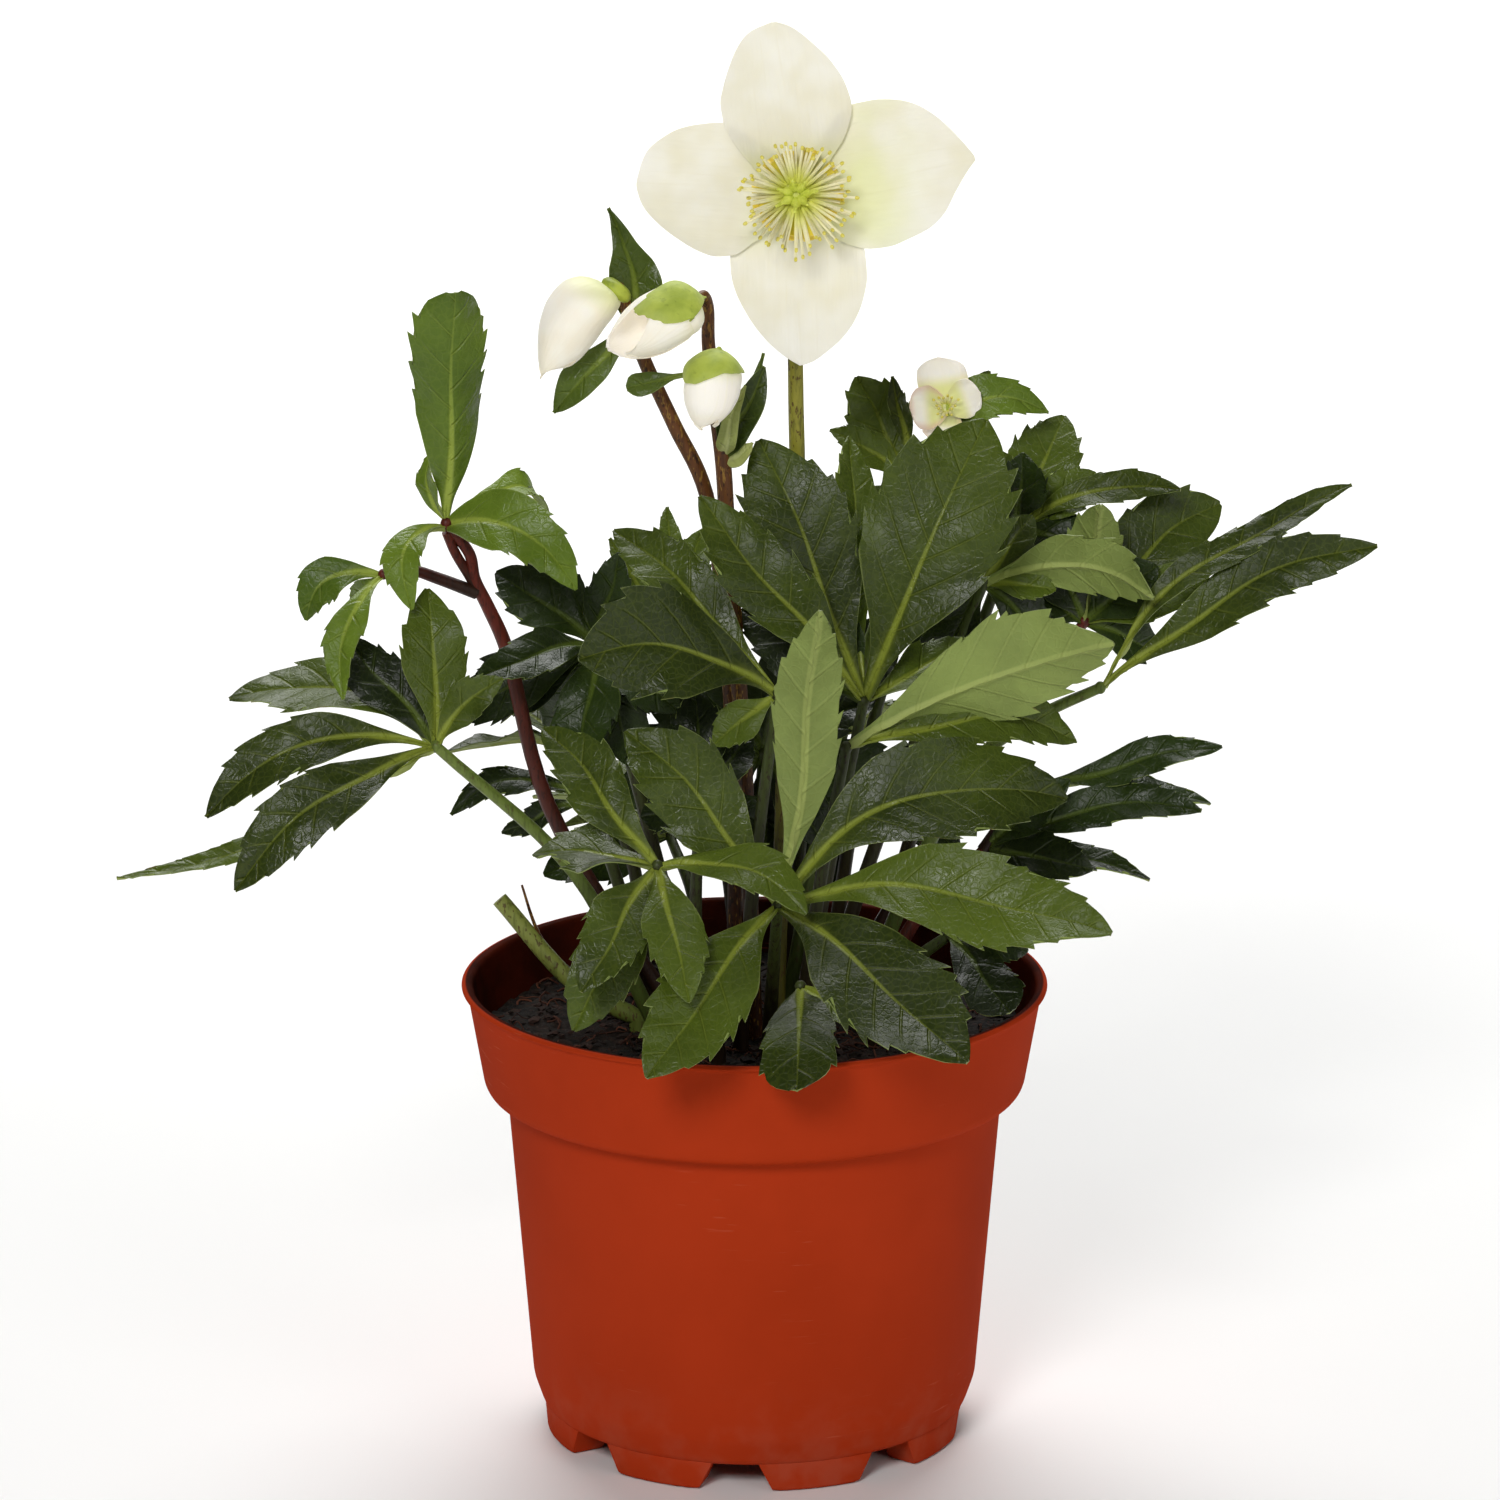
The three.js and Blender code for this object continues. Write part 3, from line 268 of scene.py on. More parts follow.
# Profiles and ends are heights along the flower's axis from its centre. The slender parts leave a ring
# round the axis and lean away from it, in radians, within the ranges given.
FLOWER = {
  "centre": [9, -10, 284.5], "facing": [0, -0.98, 0.2],
  "tepals": [
    {"angle": 97.5, "length": 37.3, "width": 28.6, "lift": 1.3},
    {"angle": 176, "length": 34.6, "width": 29, "lift": 0},
    {"angle": 11.6, "length": 39.3, "width": 32.6, "lift": 0.1, "tint": 1},
    {"angle": -88, "length": 36.8, "width": 29.6, "lift": -1.3},
  ],
  "receptacle": [[1.6, -6.4], [2.1, -5.8], [2.9, -4.4], [3.4, -3.2], [3.1, -2.5]],
  "base": {"radius": 3.4, "back": -1.9, "front": 1.6},
  "disc": {"radius": 3.6, "back": 1.9, "front": 5.2},
  "carpels": {
    "count": 7, "jitter": [0, 0.2], "ring": 1.6, "base": 4, "leans": [0.1, 0.36], "lengths": [6.4, 8],
  },
  "nectaries": {
    "count": 11, "jitter": [-0.2, 0.2], "ring": 3, "base": 3.2, "lean": 1.34, "upright": [0.1, 0.3],
    "length": 7.4, "shortest": 0.86, "neck": 0.6, "mouth": 1.85,
  },
  "stamens": {
    "count": 74, "jitter": [0, 1.6], "rings": [2.4, 3.4], "base": 4.4, "leans": [0.5, 1.25], "reach": 9.6,
    "longest": 12.6, "shortest": 0.62, "hang": 0.16, "droops": [-0.05, 0.3],
  },
}

# A stem stands and runs as a leaf's stalk does, to the flower or bud. "light" bracts are pale.
FLOWER_STEMS = {
  "flower_stem": {
    "slot": "flower_stem", "finish": "olive", "hole": [5, 3], "radius": 1.7, "taper": 0.14, "bracts": [],
    "through": [
      [6, 6, 130], [7.6, 9, 180], [9.4, 9, 214], [9.1, 6, 235], [8.8, 1, 257], [8.8, -3, 274], [9, -4.4, 282],
    ],
  },
  "bud_stem_left": {
    "slot": "bud_stem", "finish": "brown", "hole": [-5, 5], "radius": 1.55, "taper": 0.2,
    "through": [
      [-4.5, 6, 150], [-10.6, 6, 214], [-17.6, 5, 230], [-23.4, 4, 243], [-26.8, 3.4, 252],
      [-28.7, 2.8, 258.6], [-29.8, 0.6, 262],
    ],
    "bracts": [
      {"from": [-26.6, 3.4, 252], "row": [[-32, 8, 278], 12, 2, 4.5, VIEWER, ACUTE_EDGE, 1.8]},
      {"from": [-26.6, 3.4, 252], "row": [[-44, 0, 234], 8, 4]},
    ],
  },
  "bud_stem_right": {
    "slot": "bud_stem", "finish": "brown", "hole": [0, -5], "radius": 1.7, "taper": 0.46,
    "through": [
      [-2, -3, 150], [-6, 0, 208], [-7, 0, 224], [-8.6, 0, 236], [-10.1, -1, 250], [-10.2, -2.6, 258.2],
      [-11.1, -4.8, 261.2], [-12.4, -7, 260.7],
    ],
    "sideStalk": {
      "radius": 0.9,
      "points": [[-7, 0, 224], [-6, -3.4, 239], [-6.2, -8, 247.4], [-7, -11.2, 249.3], [-7.8, -12.6, 249.2]],
    },
    "bracts": [
      {"from": [-7, 0, 224], "row": [[2, 6, 246], 6.5, 3, 1, VIEWER, ACUTE_EDGE]},
      {"from": [-7, 0, 224], "row": [[2.2, -3, 245], 7.4, 4, 1, VIEWER, FULL_EDGE, 2]},
      {"from": [-7, 0, 224], "row": [[-2, -8.6, 242], 4.6, 6, 0, VIEWER, FULL_EDGE], "light": True},
      {"from": [-7, 0, 224], "row": [[-0.5, -3, 228], 5, 1, 3, VIEWER, FULL_EDGE], "light": True},
      {"from": [-9.4, -0.5, 243], "row": [[-28, -4, 240.4], 5.4, 1.5, 0.5, VIEWER, SPOON_EDGE]},
    ],
  },
  "young_stem": {
    "slot": "leaf", "finish": "green", "hole": [8, 22], "radius": 1.5, "taper": 0.2, "leafy": True,
    "through": [[19, 32, 150], [36, 41, 200], [40, 41, 211], [42.5, 41, 218], [42.8, 39, 225.4]],
    "sideStalk": {"radius": 1, "points": [[36, 41, 200], [35, 42, 208], [35, 43, 213]]},
    "bracts": [
      {"from": [35, 42, 208], "row": [[23, 50, 231], 16, 3]},
      {"from": [35, 42, 208], "row": [[17, 40, 221], 9, 2, 2]},
      {"from": [35, 43, 213], "row": [[31, 46, 232], 5, 3]},
      {"from": [42.5, 41, 218], "row": [[66, 40, 225], 12, 21, -3, [0, -2, 2], FULL_EDGE], "light": True},
      {"from": [42.5, 41, 218], "row": [[53, 47, 233], 7, 3]},
      {"from": [40, 41, 211], "row": [[60, 30, 214], 9, 3, -2]},
      {"from": [35, 42, 208], "row": [[23, 36, 194], 13, 5, 4]},
    ],
  },
}

YOUNG_BLOOM = {
  "centre": [43, 36, 227], "facing": [-0.1, -0.9, 0.3],
  "tepals": [
    {"angle": 98, "length": 11, "width": 11.4, "lift": 0.5, "blush": 0.15},
    {"angle": 22, "length": 8.4, "width": 8.6, "lift": 0.9, "blush": 0.1},
    {"angle": 186, "length": 7.8, "width": 10, "lift": 1.2, "blush": 1},
    {"angle": 262, "length": 8, "width": 9, "lift": -0.4, "blush": 0.6},
  ],
  "dish": 0.16, "curl": 3, "ruffle": 1.1,
  "disc": {"radius": 2, "back": -2, "front": 1.2},
  "stamens": {
    "count": 14, "ring": 0.9, "base": 0.6, "leans": [0.1, 0.6], "lengths": [3.2, 4.4], "droop": 0.2,
  },
}

CUT_STALK = {
  "hole": [-26, 0], "radius": 2, "through": [[-40, 0, 103], [-57, 3, 122]],
  "thread": {"radius": 0.6, "points": [[-45, 1, 108], [-49, 2, 116], [-52, 4, 125]]},
}

# A bud's wraps are its own tepals: where their middles lie round the bud from the viewer and their
# half-widths, in degrees, the share of the bud that they reach down, how far off it they lie, and how far
# their ends are swung round. "full" is the share that the closed inner tepals fill. A hood covers a bud
# between two angles round it; its edge gives the share of the bud's length that it reaches there.
STEPPED_WRAP = [[0, 0.75], [0.25, 1], [0.5, 0.9], [0.68, 0.66], [0.9, 0.34], [1, 0.08]]
POINTED_WRAP = [[0, 0.75], [0.25, 1], [0.6, 1], [0.8, 0.82], [0.93, 0.5], [1, 0.08]]
BLUNT_WRAP = [[0, 0.75], [0.25, 1], [0.75, 1], [0.9, 0.86], [0.97, 0.6], [1, 0.3]]
BUDS = {
  "left": {
    "neck": [-31.1, -0.9, 261.9], "tip": [-46, -5, 243], "width": 13.9, "bow": [-1.7, 0, 2.5], "full": 0.93,
    "collar": {
      "centre": [-30.2, -0.6, 261.5],
      "profile": [[1.2, -1.9], [2.3, -1.7], [3.3, -1.1], [3.8, -0.2], [3.6, 0.6], [2.8, 1.3], [1, 1.8]],
    },
    "wraps": [
      {"middle": -35, "half": 112, "reach": 1.03, "lift": 0.4, "skew": -8},
      {"middle": 140, "half": 95, "reach": 0.9, "lift": 0.2, "skew": 6},
    ],
  },
  "middle": {
    "neck": [-12.2, -7, 260.3], "tip": [-31.8, -14, 250.9], "width": 13.5, "full": 0.56,
    "wraps": [
      {"middle": 46, "half": 102, "reach": 0.88, "lift": 0.0, "edge": STEPPED_WRAP},
      {"middle": 188, "half": 96, "reach": 0.99, "lift": 0.35, "edge": BLUNT_WRAP, "tuck": 0, "inside": 2},
    ],
    "hood": {
      "from": 98, "to": 219,
      "edge": [
        [0, 0.08], [0.1, 0.26], [0.17, 0.42], [0.22, 0.53], [0.28, 0.61], [0.36, 0.63], [0.5, 0.6],
        [0.64, 0.55], [0.78, 0.49], [0.89, 0.4], [0.95, 0.3], [0.98, 0.17], [1, 0.06],
      ],
      "plump": 0.95, "thickness": 0.45, "dome": 0.22, "heel": 0.3,
    },
  },
  "low": {
    "neck": [-7.9, -13, 250.1], "tip": [-11.3, -14, 233.2], "width": 12.6, "full": 0.96,
    "wraps": [
      {"middle": -42, "half": 95, "reach": 1.0, "lift": 0.25, "skew": 16},
      {"middle": 95, "half": 85, "reach": 0.93, "lift": 0.15},
    ],
    "hood": {
      "from": 140, "to": 392,
      "edge": [
        [0, 0.12], [0.08, 0.34], [0.2, 0.4], [0.32, 0.4], [0.41, 0.31], [0.5, 0.21], [0.65, 0.17],
        [0.85, 0.17], [0.95, 0.15], [1, 0.08],
      ],
      "plump": 1.5, "thickness": 1.0, "dome": 0.42, "heel": 0,
    },
  },
}


# ---------------------------------------------------------------- numbers

def unit(vectors):
    vectors = np.asarray(vectors, float)
    return vectors / np.maximum(np.linalg.norm(vectors, axis=-1, keepdims=True), 1e-9)


def polar(reach, degrees):
    return reach * math.cos(math.radians(degrees)), reach * math.sin(math.radians(degrees))


def eased(table, x):
    """A smooth curve through a table's points that never overshoots them (monotone cubic)."""
    xs, ys = np.array(table, float).T
    gap, slope = np.diff(xs), np.diff(ys) / np.diff(xs)
    product = slope[:-1] * slope[1:]
    inner = np.where(product > 0, 2 * product / np.where(product > 0, slope[:-1] + slope[1:], 1), 0)
    tangent = np.concatenate([[slope[0]], inner, [slope[-1]]])
    k = np.clip(np.searchsorted(xs, x, side="right") - 1, 0, len(gap) - 1)
    t = np.clip((x - xs[k]) / gap[k], 0, 1)
    rise = tangent[k] * gap[k] * t * (1 - t) ** 2 + tangent[k + 1] * gap[k] * t ** 2 * (t - 1)
    return ys[k] * (1 + 2 * t) * (1 - t) ** 2 + ys[k + 1] * t ** 2 * (3 - 2 * t) + rise


def catmull(points, steps=6):
    """A centripetal Catmull-Rom curve through the points, with that many steps between each two."""
    points = np.array(points, float)
    points = np.vstack([2 * points[0] - points[1], points, 2 * points[-1] - points[-2]])
    gaps = np.sqrt(np.linalg.norm(np.diff(points, axis=0), axis=1))
    t = np.linspace(0, 1, steps, endpoint=False)[:, None]
    curve = []
    for k in range(len(points) - 3):
        a, b, c, d = points[k:k + 4]
        before, span, after = gaps[k:k + 3]
        leave = ((b - a) / before - (c - a) / (before + span) + (c - b) / span) * span
        arrive = ((c - b) / span - (d - b) / (span + after) + (d - c) / after) * span
        square, cube = 3 * (c - b) - 2 * leave - arrive, 2 * (b - c) + leave + arrive
        curve.append(b + leave * t + square * t ** 2 + cube * t ** 3)
    return np.vstack([*curve, points[-2]])


def bezier(start, middle, end, t):
    return (1 - t) ** 2 * start + 2 * t * (1 - t) * middle + t ** 2 * end


def ripple(x, y, seed):
    """Smooth noise over a plane, from -1 to 1, with one wave per unit or so."""
    size = 64
    table = np.random.default_rng(seed).uniform(-1, 1, (size, size))
    left, low = np.floor(x).astype(int), np.floor(y).astype(int)
    across, up = (x - left) ** 2 * (3 - 2 * (x - left)), (y - low) ** 2 * (3 - 2 * (y - low))
    at = lambda i, j: table[(left + i) % size, (low + j) % size]
    bottom = at(0, 0) * (1 - across) + at(1, 0) * across
    return bottom * (1 - up) + (at(0, 1) * (1 - across) + at(1, 1) * across) * up


def seeded_random(seed):
    """The same run of numbers as the CAD's own generator gives."""
    state = [seed]

    def following():
        state[0] = (state[0] * 1664525 + 1013904223) % 4294967296
        return state[0] / 4294967296

    return following


def paint(code, dim=1.0):
    """A linear colour with alpha from a hex code, dimmed if wanted."""
    shares = [int(code[k:k + 2], 16) / 255 for k in (1, 3, 5)]
    return tuple(dim * (s / 12.92 if s < 0.04045 else ((s + 0.055) / 1.055) ** 2.4) for s in shares) + (1,)


# ---------------------------------------------------------------- meshes

class Shells:
    """Gathers closed shells into one mesh. Each point carries texture coordinates in mm and a tone:
    a share drawn by lot for its shell, how far it lies towards an edge, and how far along it lies."""

    def __init__(self):
        self.points, self.faces, self.finishes, self.coordinates, self.tones = [], [], [], [], []
        self.count = 0

    def add(self, points, faces, coordinates=(0.0, 0.0), tones=(0.5, 0.0, 0.0)):
        """faces holds pairs of an array of faces, all with as many corners, and a finish's number."""
        self.points.append(points)
        spread = lambda values: np.column_stack([np.broadcast_to(v, len(points)) for v in values])
        self.coordinates.append(spread(coordinates))
        self.tones.append(spread([*tones, 1.0]))
        for corners, finish in faces:
            self.faces.append(corners + self.count)
            self.finishes.append(np.full(len(corners), finish))
        self.count += len(points)

    def mesh(self, name):
        mesh = bpy.data.meshes.new(name)
        corners = np.concatenate([f.ravel() for f in self.faces])
        sizes = np.concatenate([np.full(len(f), f.shape[1]) for f in self.faces])
        mesh.vertices.add(self.count)
        mesh.vertices.foreach_set("co", (np.concatenate(self.points) * MM).ravel())
        mesh.loops.add(len(corners))
        mesh.loops.foreach_set("vertex_index", corners)
        mesh.polygons.add(len(sizes))
        mesh.polygons.foreach_set("loop_start", np.cumsum(sizes) - sizes)
        mesh.polygons.foreach_set("material_index", np.concatenate(self.finishes))
        coordinates = np.concatenate(self.coordinates)[corners]
        mesh.uv_layers.new(name="UVMap").data.foreach_set("uv", coordinates.ravel())
        tones = mesh.color_attributes.new(name="tone", type="FLOAT_COLOR", domain="POINT")
        tones.data.foreach_set("color", np.concatenate(self.tones).ravel())
        return mesh

    def piece(self, name, finishes, slot, *nodes, sharp=48):
        """The mesh as a piece fixed to the plant's one body, standing for its CAD nodes."""
        mesh = self.mesh(name)
        for finish in finishes:
            mesh.materials.append(finish)
        mesh.update(calc_edges=True)
        mesh.validate()
        mesh.shade_smooth()
        mesh.set_sharp_from_angle(angle=math.radians(sharp))
        piece = linked(name, mesh)
        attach(piece, "root")
        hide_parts(*nodes)
        return piece


def linked(name, data):
    """An object in the scene for a mesh, lamp or camera."""
    made = bpy.data.objects.new(name, data)
    bpy.context.scene.collection.objects.link(made)
    return made


def grid_faces(rows, columns, closed=False):
    """The quads between a grid's points, seen from the side that columns x rows points to."""
    index = np.arange(rows * columns).reshape(rows, columns)
    if closed:
        index = np.column_stack([index, index[:, 0]])
    return np.stack([index[:-1, :-1], index[:-1, 1:], index[1:, 1:], index[1:, :-1]], -1).reshape(-1, 4)


def add_sheet(shells, grid, thickness, finishes, coordinates=(0.0, 0.0), tones=(0.5, 0.0, 0.0)):
    """A closed sheet with a grid of points as its upper face. The finishes are those of its upper face,
    its lower face and its rim; the coordinates and tones may be grids or plain numbers."""
    rows, columns = grid.shape[:2]
    count = rows * columns
    normals = unit(np.cross(np.gradient(grid, axis=1), np.gradient(grid, axis=0)))
    points = np.concatenate([grid.reshape(-1, 3), (grid - normals * thickness[..., None]).reshape(-1, 3)])
    upper = grid_faces(rows, columns)
    index = np.arange(count).reshape(rows, columns)
    border = np.concatenate([index[0, :-1], index[:-1, -1], index[-1, :0:-1], index[:0:-1, 0]])
    following = np.roll(border, -1)
    rim = np.stack([following, border, border + count, following + count], -1)
    faces = zip((upper, upper[:, ::-1] + count, rim), finishes)
    both = lambda values: [np.tile(np.broadcast_to(v, (rows, columns)).ravel(), 2) for v in values]
    shells.add(points, faces, both(coordinates), both(tones))


def ring_values(values, sides):
    """One value for all points of a ring, and the first and last ones for the two poles."""
    return np.concatenate([np.repeat(values, sides), [values[0], values[-1]]])


def add_rings(shells, rings, finish, poles=None, along=None, luck=0.5):
    """A closed body through rings of points. Each end is a fan of triangles round its pole, which is the
    ring's middle unless it is given. along is the tone's last share, from 0 to 1 if it isn't given."""
    rows, sides = rings.shape[:2]
    poles = [rings[0].mean(0), rings[-1].mean(0)] if poles is None else poles
    along = ring_values(np.linspace(0, 1, rows), sides) if along is None else along
    count = rows * sides
    ring = np.arange(sides)
    after = np.roll(ring, -1)
    low = np.stack([after, ring, np.full(sides, count)], -1)
    high = np.stack([count - sides + ring, count - sides + after, np.full(sides, count + 1)], -1)
    faces = [(grid_faces(rows, sides, closed=True), finish), (np.concatenate([low, high]), finish)]
    shells.add(np.concatenate([rings.reshape(-1, 3), poles]), faces, tones=(luck, 0, along))


def rings_across(path, radii, sides, along, normals):
    """Rings round a path's points, given the way along it and one way across it at each."""
    angles = np.linspace(0, 2 * math.pi, sides, endpoint=False)[None, :, None]
    reach = np.broadcast_to(np.asarray(radii, float), (len(path),))[:, None, None]
    others = np.cross(along, normals)
    return path[:, None] + reach * (np.cos(angles) * normals[:, None] + np.sin(angles) * others[:, None])


def add_tube(shells, path, radii, finish, sides=10, luck=0.5):
    """A round tube along a path, with flat ends. Its rings turn as little as they can."""
    path = np.asarray(path, float)
    ways = unit(np.gradient(path, axis=0))
    helper = [1, 0, 0] if abs(ways[0][0]) < 0.8 else [0, 1, 0]
    normals = [unit(np.cross(ways[0], helper))]
    for way in ways[1:]:
        normals.append(unit(normals[-1] - (normals[-1] @ way) * way))
    lengths = np.concatenate([[0], np.cumsum(np.linalg.norm(np.diff(path, axis=0), axis=1))])
    along = ring_values(lengths / lengths[-1], sides)
    rings = rings_across(path, radii, sides, ways, np.array(normals))
    add_rings(shells, rings, finish, path[[0, -1]], along, luck)


def revolved(profile, sides):
    """A profile of radius and height turned about z, as a grid of points."""
    profile = np.array(profile, float)
    angles = np.linspace(0, 2 * math.pi, sides, endpoint=False)
    radius, height = profile[:, :1], profile[:, 1:]
    return np.stack([radius * np.cos(angles), radius * np.sin(angles), height + 0 * angles], -1)


KNOB = {"rings": 8, "sides": 14, "opening": 0.02, "tone": 0.75}


def add_knob(shells, centre, radii, finish):
    """A rounded lump, as wide and high as radii say."""
    turn = np.linspace(KNOB["opening"], math.pi - KNOB["opening"], KNOB["rings"])
    radii, centre = np.array(radii), np.array(centre)
    rings = revolved(np.column_stack([np.sin(turn), -np.cos(turn)]), KNOB["sides"]) * radii + centre
    poles = centre + np.array([[0, 0, -radii[2]], [0, 0, radii[2]]])
    add_rings(shells, rings, finish, poles, KNOB["tone"])


def placed(points, where):
    """Points brought from a flower's or bud's own axes, whose rows where holds after their centre."""
    centre, axes = where
    return centre + points @ axes


def add_turned(shells, where, profile, finish, sides=32):
    """A body of a profile of radius and height, closed at both ends, turned about a flower's axis."""
    add_rings(shells, placed(revolved(profile, sides), where), finish)


# ---------------------------------------------------------------- finishes

class Wire:
    """A value in a material's nodes. Sums, products and ramps of wires make nodes of their own."""

    def __init__(self, finish, socket):
        self.finish, self.socket = finish, socket

    def math(self, operation, other=0.0):
        return self.finish.node("ShaderNodeMath", {0: self, 1: other}, operation=operation)

    def __add__(self, other):
        return self.math("ADD", other)

    def __sub__(self, other):
        return self.math("SUBTRACT", other)

    def __mul__(self, other):
        return self.math("MULTIPLY", other)

    def __truediv__(self, other):
        return self.math("DIVIDE", other)

    def ramp(self, start, end, low=0.0, high=1.0):
        """Eases from low to high while the value goes from start to end."""
        inputs = {0: self, 1: start, 2: end, 3: low, 4: high}
        return self.finish.node("ShaderNodeMapRange", inputs, interpolation_type="SMOOTHSTEP")


class Finish:
    """A procedural material on the Principled shader: a ground colour, and layers painted over it."""

    def __init__(self, name, ground, **fixed):
        self.material = bpy.data.materials.new(name)
        self.material.use_nodes = True
        self.tree = self.material.node_tree
        self.shader = self.tree.nodes["Principled BSDF"]
        for socket, value in fixed.items():
            self.feed(socket.replace("_", " "), value)
        self.colour = ground
        self.place = self.node("ShaderNodeTexCoord", {}, ["Object"])

    def node(self, kind, inputs, outputs=(0,), **settings):
        """Makes a node and returns its outputs: one wire, or a list of them."""
        made = self.tree.nodes.new(kind)
        for key, value in settings.items():
            setattr(made, key, value)
        for socket, value in inputs.items():
            self.feed(made.inputs[socket], value)
        wires = [Wire(self, made.outputs[output]) for output in outputs]
        return wires if len(wires) > 1 else wires[0]

    def feed(self, socket, value):
        """Links a wire to a socket, or sets it. A socket's name means one of the shader's."""
        socket = self.shader.inputs[socket] if isinstance(socket, str) else socket
        if isinstance(value, Wire):
            self.tree.links.new(value.socket, socket)
        else:
            socket.default_value = value

    def layer(self, share, colour):
        """Paints a colour over what is there, as thickly as share says."""
        self.colour = self.node("ShaderNodeMix", {0: share, 6: self.colour, 7: colour}, [2], data_type="RGBA")
        self.feed("Base Color", self.colour)

    def bumped(self, height, distance):
        """The finished material, with its surface raised by height, by distance in mm at most."""
        self.feed("Normal", self.node("ShaderNodeBump", {"Height": height, "Distance": distance * MM}))
        return self.material

    def stretched(self, scale):
        return self.node("ShaderNodeMapping", {0: self.place, 3: scale})

    def noise(self, scale, detail=3.0, where=None):
        """Clouds of about scale to the metre. Three scales stretch them along the axes."""
        if isinstance(scale, tuple):
            scale, where = 1.0, self.stretched(scale)
        inputs = {"Vector": where or self.place, "Scale": scale, "Detail": detail, "Roughness": 0.55}
        return self.node("ShaderNodeTexNoise", inputs)

    def cells(self, scale, feature="DISTANCE_TO_EDGE"):
        inputs = {"Vector": self.place, "Scale": scale}
        return self.node("ShaderNodeTexVoronoi", inputs, ["Distance"], feature=feature)

    def along_across(self):
        """The texture coordinates: mm along and across a leaflet or tepal."""
        place = self.node("ShaderNodeUVMap", {}, uv_map="UVMap")
        return self.node("ShaderNodeSeparateXYZ", {0: place}, [0, 1])

    def tone(self):
        """The shell's lot, the share towards an edge and the share along."""
        found = self.node("ShaderNodeAttribute", {}, ["Color"], attribute_name="tone")
        return self.node("ShaderNodeSeparateColor", {0: found}, [0, 1, 2])


# ---------------------------------------------------------------- finishes of leaves and stems

VEIN_SLANT = 0.95


def side_veins(along, across, luck, thin, wide):
    """The distance from the midrib, and a mask of veins that leave it in turn to either side."""
    aside = across.math("ABSOLUTE")
    lead = aside * -VEIN_SLANT + aside * aside * -0.012
    other_hand = across.math("GREATER_THAN") * 0.5
    lane = (along + lead) * (1 / VEIN_SPACING) + (other_hand + luck * 3)
    return aside, lane.math("PINGPONG", 0.5).ramp(thin, wide, 1, 0)


def leaf_finish(name, deep, light, vein, edge):
    """The upper face of a leaflet: a light midrib that fades towards the tip, faint side veins that run
    forward to the teeth, sunk into a finely wrinkled skin, and a thin light edge."""
    finish = Finish(name, paint(deep), Specular_IOR_Level=0.26)
    along, across = finish.along_across()
    luck, share, station = finish.tone()
    aside, veins = side_veins(along, across, luck, 0.01, 0.07)
    veins = veins * share.ramp(0.3, 0.95, 1, 0)
    midrib = (aside / station.ramp(0, 1, 1.05, 0.2)).ramp(0.35, 1.1, 1, 0) * station.ramp(0.1, 1, 0.72, 0.14)
    pale_base = station.ramp(0, 0.4, 0.3, 0) * aside.ramp(0.3, 2.4, 1, 0)
    net = finish.cells(620).ramp(0, 0.16, 1, 0)
    finish.layer((finish.noise(38, 4) + (luck - 0.5) * 0.7).ramp(0.15, 0.9), paint(light))
    for share_of_vein in (net * 0.05, veins * 0.12, pale_base, midrib):
        finish.layer(share_of_vein, paint(vein))
    finish.layer(share.ramp(0.955, 1) * 0.35, paint(edge))
    finish.feed("Roughness", finish.noise(90).ramp(0.3, 0.7, 0.28, 0.46))
    return finish.bumped(veins * -0.7 + net * -0.12 + finish.noise(300, 4) * 1.05 + midrib * -0.4, 0.34)


def underside_finish(name, ground, vein):
    """The light underside of a leaflet, with raised veins and a matt, finely netted skin."""
    finish = Finish(name, paint(ground, 0.7), Roughness=0.6, Specular_IOR_Level=0.25)
    along, across = finish.along_across()
    luck, _, station = finish.tone()
    aside, veins = side_veins(along, across, luck, 0.02, 0.08)
    midrib = aside.ramp(0.4, 1, 1, 0) * station.ramp(0.1, 1, 0.8, 0.35)
    net = finish.cells(520).ramp(0, 0.14, 1, 0)
    finish.layer((finish.noise(50, 4) + (luck - 0.5) * 0.3).ramp(0.25, 0.75), paint(ground))
    for share_of_vein in (net * 0.06, veins * 0.14, midrib):
        finish.layer(share_of_vein, paint(vein))
    return finish.bumped(veins * 0.6 + net * 0.2 + finish.noise(330, 4) * 0.5, 0.25)


def stalk_finish(name, low, high, speck, specks=0.5, gold=None):
    """A stalk that changes colour along its length, with fine lengthwise streaks and specks."""
    finish = Finish(name, paint(low), Roughness=0.46, Specular_IOR_Level=0.3)
    along = finish.tone()[2]
    streaks = finish.noise((1100, 1100, 110))
    dots = finish.noise((1300, 1300, 500), 2).ramp(0.58, 0.66)
    finish.layer(along.ramp(0.1, 0.95), paint(high))
    finish.layer(streaks.ramp(0.42, 0.72, 0, 0.6), paint(low, 0.45))
    if gold:
        finish.layer(finish.noise((1500, 1500, 420), 2).ramp(0.55, 0.66, 0, 0.75), paint(gold))
    finish.layer(dots * specks, paint(speck))
    return finish.bumped(streaks + dots * 0.3, 0.1)


def rim_finish(name, ground, worn):
    """The thin light edge of a leaflet, worn brown here and there."""
    finish = Finish(name, paint(ground), Roughness=0.5, Specular_IOR_Level=0.35)
    finish.layer(finish.noise(130).ramp(0.6, 0.72, 0, 0.6), paint(worn))
    return finish.material


